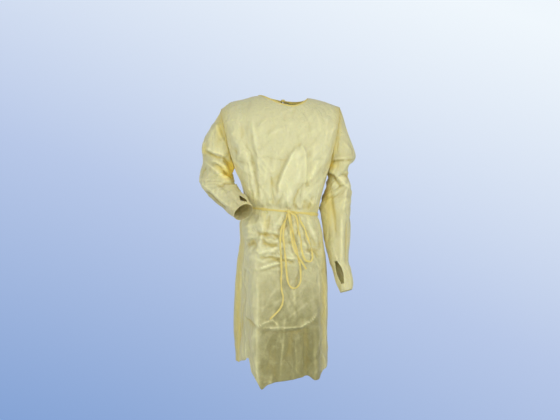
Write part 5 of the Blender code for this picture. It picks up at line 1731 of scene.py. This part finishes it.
def cloth_finish(name, web, crinkle, colours, shine, crinkled, bond_spacing=0.0021):
    """Pale yellow nonwoven with painted shade of the dark inside low down, a deeper yellow where
    doubled and as painted shade in its folds, and painted highlights and shade on its crease lines.
    """
    made, tree, shader = new_finish(name)
    place = coordinates(tree, "Object")
    flat = node(tree, "ShaderNodeUVMap", {"uv_map": "flat"}).outputs["UV"]
    weave = node(tree, "ShaderNodeGroup", {"node_tree": web}, Flat_Place=flat,
                 Place=place, Bond_Spacing=bond_spacing).outputs
    worn = node(tree, "ShaderNodeGroup", {"node_tree": crinkle}, Place=place).outputs
    painted_inside_shade, doubled_and_painted_shade, painted_light_and_shade = (
        node(tree, "ShaderNodeAttribute", {"attribute_name": mark}).outputs["Fac"]
        for mark in ("painted_inside_shade", "doubled_and_painted_shade", "painted_light_and_shade")
    )
    pale, deep, low = colours
    mottle = scaled(tree, weave["Clouds"], 0.9, -0.45)
    blotch = scaled(tree, weave["Blotches"], 1.3, -0.65)

    height = node(tree, "ShaderNodeSeparateXYZ", Vector=place).outputs["Z"]
    # Painted shade of the dark inside, darker towards the hem.
    low_painted_shade = maths(tree, "MULTIPLY", smooth_range(tree, height, *DARK_HEIGHTS), painted_inside_shade)
    lower = scaled(tree, blotch, scaled(tree, low_painted_shade, 0.75, 0.12), low_painted_shade)
    # Painted highlights on crease lines hide some of the painted shade of the inside.
    crest = maths(tree, "MAXIMUM", painted_light_and_shade, 0.0)
    shaded_low_tone = mixed(tree, scaled(tree, crest, -CREST_COVER, lower), pale, low)
    # Deeper yellow of doubled cloth and of painted shade in troughs.
    deep_yellow_share = maths(tree, "MULTIPLY", doubled_and_painted_shade, scaled(tree, low_painted_shade, -0.55, 1.0))
    body = mixed(tree, scaled(tree, mottle, 0.25, deep_yellow_share), shaded_low_tone, deep)
    even = scaled(tree, weave["Bonds"], -0.05, 1.0)
    # Painted highlights and shade on crease lines and at places brighten or darken the tone.
    bright = scaled(tree, painted_light_and_shade, CREST_BRIGHT, scaled(tree, mottle, 0.16, even))
    grey = node(
        tree, "ShaderNodeCombineColor", Red=bright, Green=bright, Blue=bright
    ).outputs[0]
    tone = mixed(tree, 1.0, body, grey, blend="MULTIPLY")

    dull = scaled(tree, mottle, 0.20, shine["Roughness"])
    rough = scaled(tree, weave["Bonds"], -0.16, dull)
    web_height = maths(tree, "MULTIPLY", weave["Height"], 0.05)
    bump = node(tree, "ShaderNodeBump", Strength=0.8, Distance=0.0022,
                Height=scaled(tree, worn["Height"], crinkled, web_height))
    give(tree, shader, {
        **shine,
        "Base Color": tone,
        "Roughness": rough,
        "Normal": bump.outputs["Normal"],
    })
    return made


def thread_finish(name, colour):
    """Spun thread, its twist in fine slanting bands."""
    made, tree, shader = new_finish(name)
    twist = node(tree, "ShaderNodeTexWave",
                 {"wave_type": "BANDS", "bands_direction": "DIAGONAL"},
                 Vector=coordinates(tree, "Object"), Scale=900.0, Distortion=2.0)
    band = twist.outputs["Fac"]
    darker = tuple(c * 0.82 for c in colour[:3]) + (1.0,)
    bump = node(tree, "ShaderNodeBump", Height=band, Strength=0.4, Distance=0.0002)
    give(tree, shader, {
        "Base Color": mixed(tree, band, colour, darker),
        "Normal": bump.outputs["Normal"],
        "Roughness": 0.6,
        "Sheen Weight": 0.3,
    })
    return made


# ---------------------------------------------------------------- surroundings
def make_camera():
    """The camera where the photograph was taken from, level with the waist."""
    data = bpy.data.cameras.new("camera")
    data.sensor_width = SENSOR_WIDTH
    data.lens = data.sensor_width * -CAMERA_PLACE[1] / SEEN_WIDTH
    camera = linked("camera", data)
    camera.location = CAMERA_PLACE
    camera.rotation_euler = (math.pi / 2, 0.0, 0.0)
    bpy.context.scene.camera = camera


def make_light(name, place, aim, size, power, colour):
    """A soft panel light aimed at a point."""
    data = bpy.data.lights.new(name, "AREA")
    data.shape = "SQUARE"
    data.size, data.energy, data.color = size, power, colour
    back = unit(np.array(place) - np.array(aim))
    side = unit(np.cross([0.0, 0.0, 1.0], back))
    turn = np.eye(4)
    turn[:3, :3] = np.stack([side, np.cross(back, side), back], axis=1)
    turn[:3, 3] = place
    linked(name, data).matrix_world = Matrix(turn.tolist())


def make_surroundings():
    """Pale blue studio air, a soft pale floor and the lights."""
    scene = bpy.context.scene
    scene.view_settings.view_transform = "Standard"
    world = bpy.data.worlds.new("studio")
    scene.world = world
    world.use_nodes = True
    tree = world.node_tree
    shown = tree.nodes["Background"]
    split = node(tree, "ShaderNodeSeparateXYZ", Vector=coordinates(tree, "Generated"))
    across, up, level = BACKDROP_SLOPE
    rising = scaled(tree, split.outputs["Z"], up, level)
    slope = scaled(tree, split.outputs["X"], across, rising)
    ramp = node(tree, "ShaderNodeValToRGB", Fac=slope)
    stops = ramp.color_ramp.elements
    stops.new(0.5)
    for stop, colour in zip(stops, BACKDROP):
        stop.color = colour
    give(tree, shown, {"Color": ramp.outputs["Color"]})
    lit = node(tree, "ShaderNodeBackground", Color=AIR_COLOUR, Strength=AIR_STRENGTH)
    seen = tree.nodes.new("ShaderNodeLightPath").outputs["Is Camera Ray"]
    both = node(tree, "ShaderNodeMixShader", _0=seen, _1=lit.outputs[0],
                _2=shown.outputs[0])
    give(tree, tree.nodes["World Output"], {"Surface": both.outputs[0]})
    for light in LIGHTS:
        make_light(*light)
    make_floor()


def make_floor():
    """A round pale floor that fades out at its rim."""
    count = 96
    turn = np.linspace(0, 2 * math.pi, count, endpoint=False)
    rim = np.stack([np.cos(turn), np.sin(turn), np.zeros(count)], -1) * FLOOR_RADIUS
    rim += FLOOR_MIDDLE
    mesh = bpy.data.meshes.new("floor")
    mesh.from_pydata(rim.tolist(), [], [list(range(count))])
    made = linked("floor", mesh)
    paint, tree, shader = new_finish("pale_floor")
    place = coordinates(tree, "Object")
    off = vector_maths(tree, "SUBTRACT", place, tuple(FLOOR_MIDDLE))
    far = vector_maths(tree, "LENGTH", off)
    give(tree, shader, {
        "Base Color": FLOOR_COLOUR,
        "Roughness": 0.9,
        "Alpha": smooth_range(tree, far, FLOOR_RADIUS, FLOOR_RADIUS * FLOOR_FULL),
    })
    mesh.materials.append(paint)


# ---------------------------------------------------------------- assembly
def settle(made, slot, *nodes):
    """The piece rides with the gown and stands for nodes. Its slot is not used."""
    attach(made, "root")
    if nodes:
        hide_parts(*nodes)


def free_tape(name, route, face, entries, finish, tree, thread, seed):
    """A free end or loop of tie, stitched along its edge."""
    path, facing = tape_line(route, face, entries)
    made, stitched = tape(
        name + "_tape", path, facing, finish, TAPE_BREADTH, TAPE_DEPTH, seed,
        twist=FREE_TWIST,
    )
    seam = stitches(name + "_stitches", stitched[4:-4], tree, thread)
    settle(made, "yellow_tape", name)
    settle(seam, "yellow_tape")


def bow_centre():
    """Where the bow's knot sits, on the front of the drawn-in tie."""
    point, facing = front_face([KNOT_X], [BELT_Z + BELT_TILT * KNOT_X])
    stand = TIE_OFF + TIE_THICK / 2 + KNOT_CLEAR + KNOT_SIZE[1]
    return (point + facing * stand)[0]


def make_bow_tapes(knot, strip, tree, thread):
    """The bow's two ends and two loops, each out of the knot at its lower side."""
    for name, route, out_of, ends, seed, far_end in (
        ("waist_tie_end_long", TIE_END_LONG, KNOT_LOW, (0,), 61, "bare"),
        ("waist_tie_end_short", TIE_END_SHORT, KNOT_LOW, (0,), 62, "bare"),
        ("waist_tie_loop_long", LOOP_LONG, KNOT_LOW, (0, -1), 63, "object"),
        ("waist_tie_loop_short", LOOP_SHORT, KNOT_SIDE, (0, -1), 64, "object"),
    ):
        entries = [(end, knot + out_of) for end in ends]
        free_tape(name, route, front_face, entries, strip, tree, thread, seed)


def make_cloth(cloth):
    """The panels and sleeves; returns the neck edge from the right back to the left."""
    front, front_neck = front_cloth(cloth)
    left_back, left_neck = back_cloth(True, cloth)
    right_back, right_neck = back_cloth(False, cloth)
    left_sleeve, right_sleeve = sleeve_cloth(True, cloth), sleeve_cloth(False, cloth)
    settle(front, "yellow_nonwoven", "front_panel")
    settle(left_back, "yellow_nonwoven", "back_panel_left")
    settle(right_back, "yellow_nonwoven", "back_panel_right")
    settle(left_sleeve, "yellow_nonwoven", "sleeve_left")
    settle(right_sleeve, "yellow_nonwoven", "sleeve_right_upper", "sleeve_right_lower")
    return np.concatenate([right_neck[::-1], front_neck, left_neck])


def make_neck(edge, strip, tree, thread):
    """The binding over the neck edge, and its ends knotted at the nape."""
    reach = KNOT_ENDS + KNOT_GAP
    edge[0, 0], edge[-1, 0] = -reach, reach
    ahead = unit(np.gradient(edge, axis=0))
    inward = unit(np.cross([0.0, 0.0, 1.0], ahead)) * BINDING_LEAN
    stand = unit(inward + np.array([0.0, 0.0, 1.0]))
    path = edge + stand * (BINDING_WIDTH / 2 + BINDING_CLEAR)
    nape = (path[0] + path[-1]) / 2
    path = eased(path) - stand * BINDING_SINK
    path = np.concatenate([[nape - NAPE_STEP], path, [nape + NAPE_STEP]])
    facing = np.cross(ahead, stand)
    facing = np.concatenate([facing[:1], facing, facing[-1:]])
    binding, stitched = tape("neck_binding_strip", path, facing, strip, BINDING_WIDTH,
                             BINDING_THICK, 71, ripple=0.5)
    seam = stitches("neck_binding_stitches", stitched[2:-2], tree, thread)
    settle(binding, "yellow_tape", "neck_binding")
    settle(seam, "yellow_tape")

    nape_knot = knot_body("nape_knot", nape, NAPE_KNOT_SIZE, strip, 3)
    settle(nape_knot, "yellow_tape", "neck_tie_knot")
    for name, route, seed in (
        ("neck_tie_end_left", NECK_END_LEFT, 65),
        ("neck_tie_end_right", NECK_END_RIGHT, 66),
    ):
        free_tape(name, route, back_face, [(0, nape + NAPE_LOW)], strip, tree, thread,
                  seed)


def make_waist(knot, strip, tree, thread):
    """The drawn-in tie round the waist and the bow's knot on it."""
    line, outward = waist_line()
    spread = sum(
        much * bell((line[:, 0] - x) / half) * (line[:, 1] < 0)
        for x, half, much in BAND_SPREADS
    )
    band, stitched = tape("waist_tie_strip", line, outward, strip, TAPE_BREADTH,
                          TAPE_DEPTH, 72, closed=True, ripple=1.6, flare=1 + spread)
    seam = stitches("waist_tie_band_stitches", stitched, tree, thread, closed=True)
    settle(band, "yellow_tape", "waist_tie_band")
    settle(seam, "yellow_tape")
    size = np.array(KNOT_SIZE)
    core = knot_body("bow_knot", knot, size * 0.92, strip, 3)
    wrap = knot_wrap(knot, size * 0.86, *KNOT_TURN, strip, 73)
    settle(joined_object(core, wrap), "yellow_tape", "waist_tie_knot")


def dress():
    """The whole dressed gown, its cords, cloth and surroundings."""
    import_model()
    make_camera()

    web, crinkle = nonwoven_group(), crinkle_group()
    cloth = cloth_finish("pale_yellow_nonwoven", web, crinkle, CLOTH_COLOURS,
                         CLOTH_SHINE, crinkled=3.6)
    strip = cloth_finish("folded_yellow_nonwoven", web, crinkle, TAPE_COLOURS,
                         TAPE_SHINE, crinkled=0.6, bond_spacing=0.0018)
    thread = thread_finish("yellow_thread", THREAD_COLOUR)
    tree = stitch_tree()

    knot = bow_centre()
    make_bow_tapes(knot, strip, tree, thread)
    neck_edge = make_cloth(cloth)
    make_neck(neck_edge, strip, tree, thread)
    make_waist(knot, strip, tree, thread)
    make_surroundings()


dress()
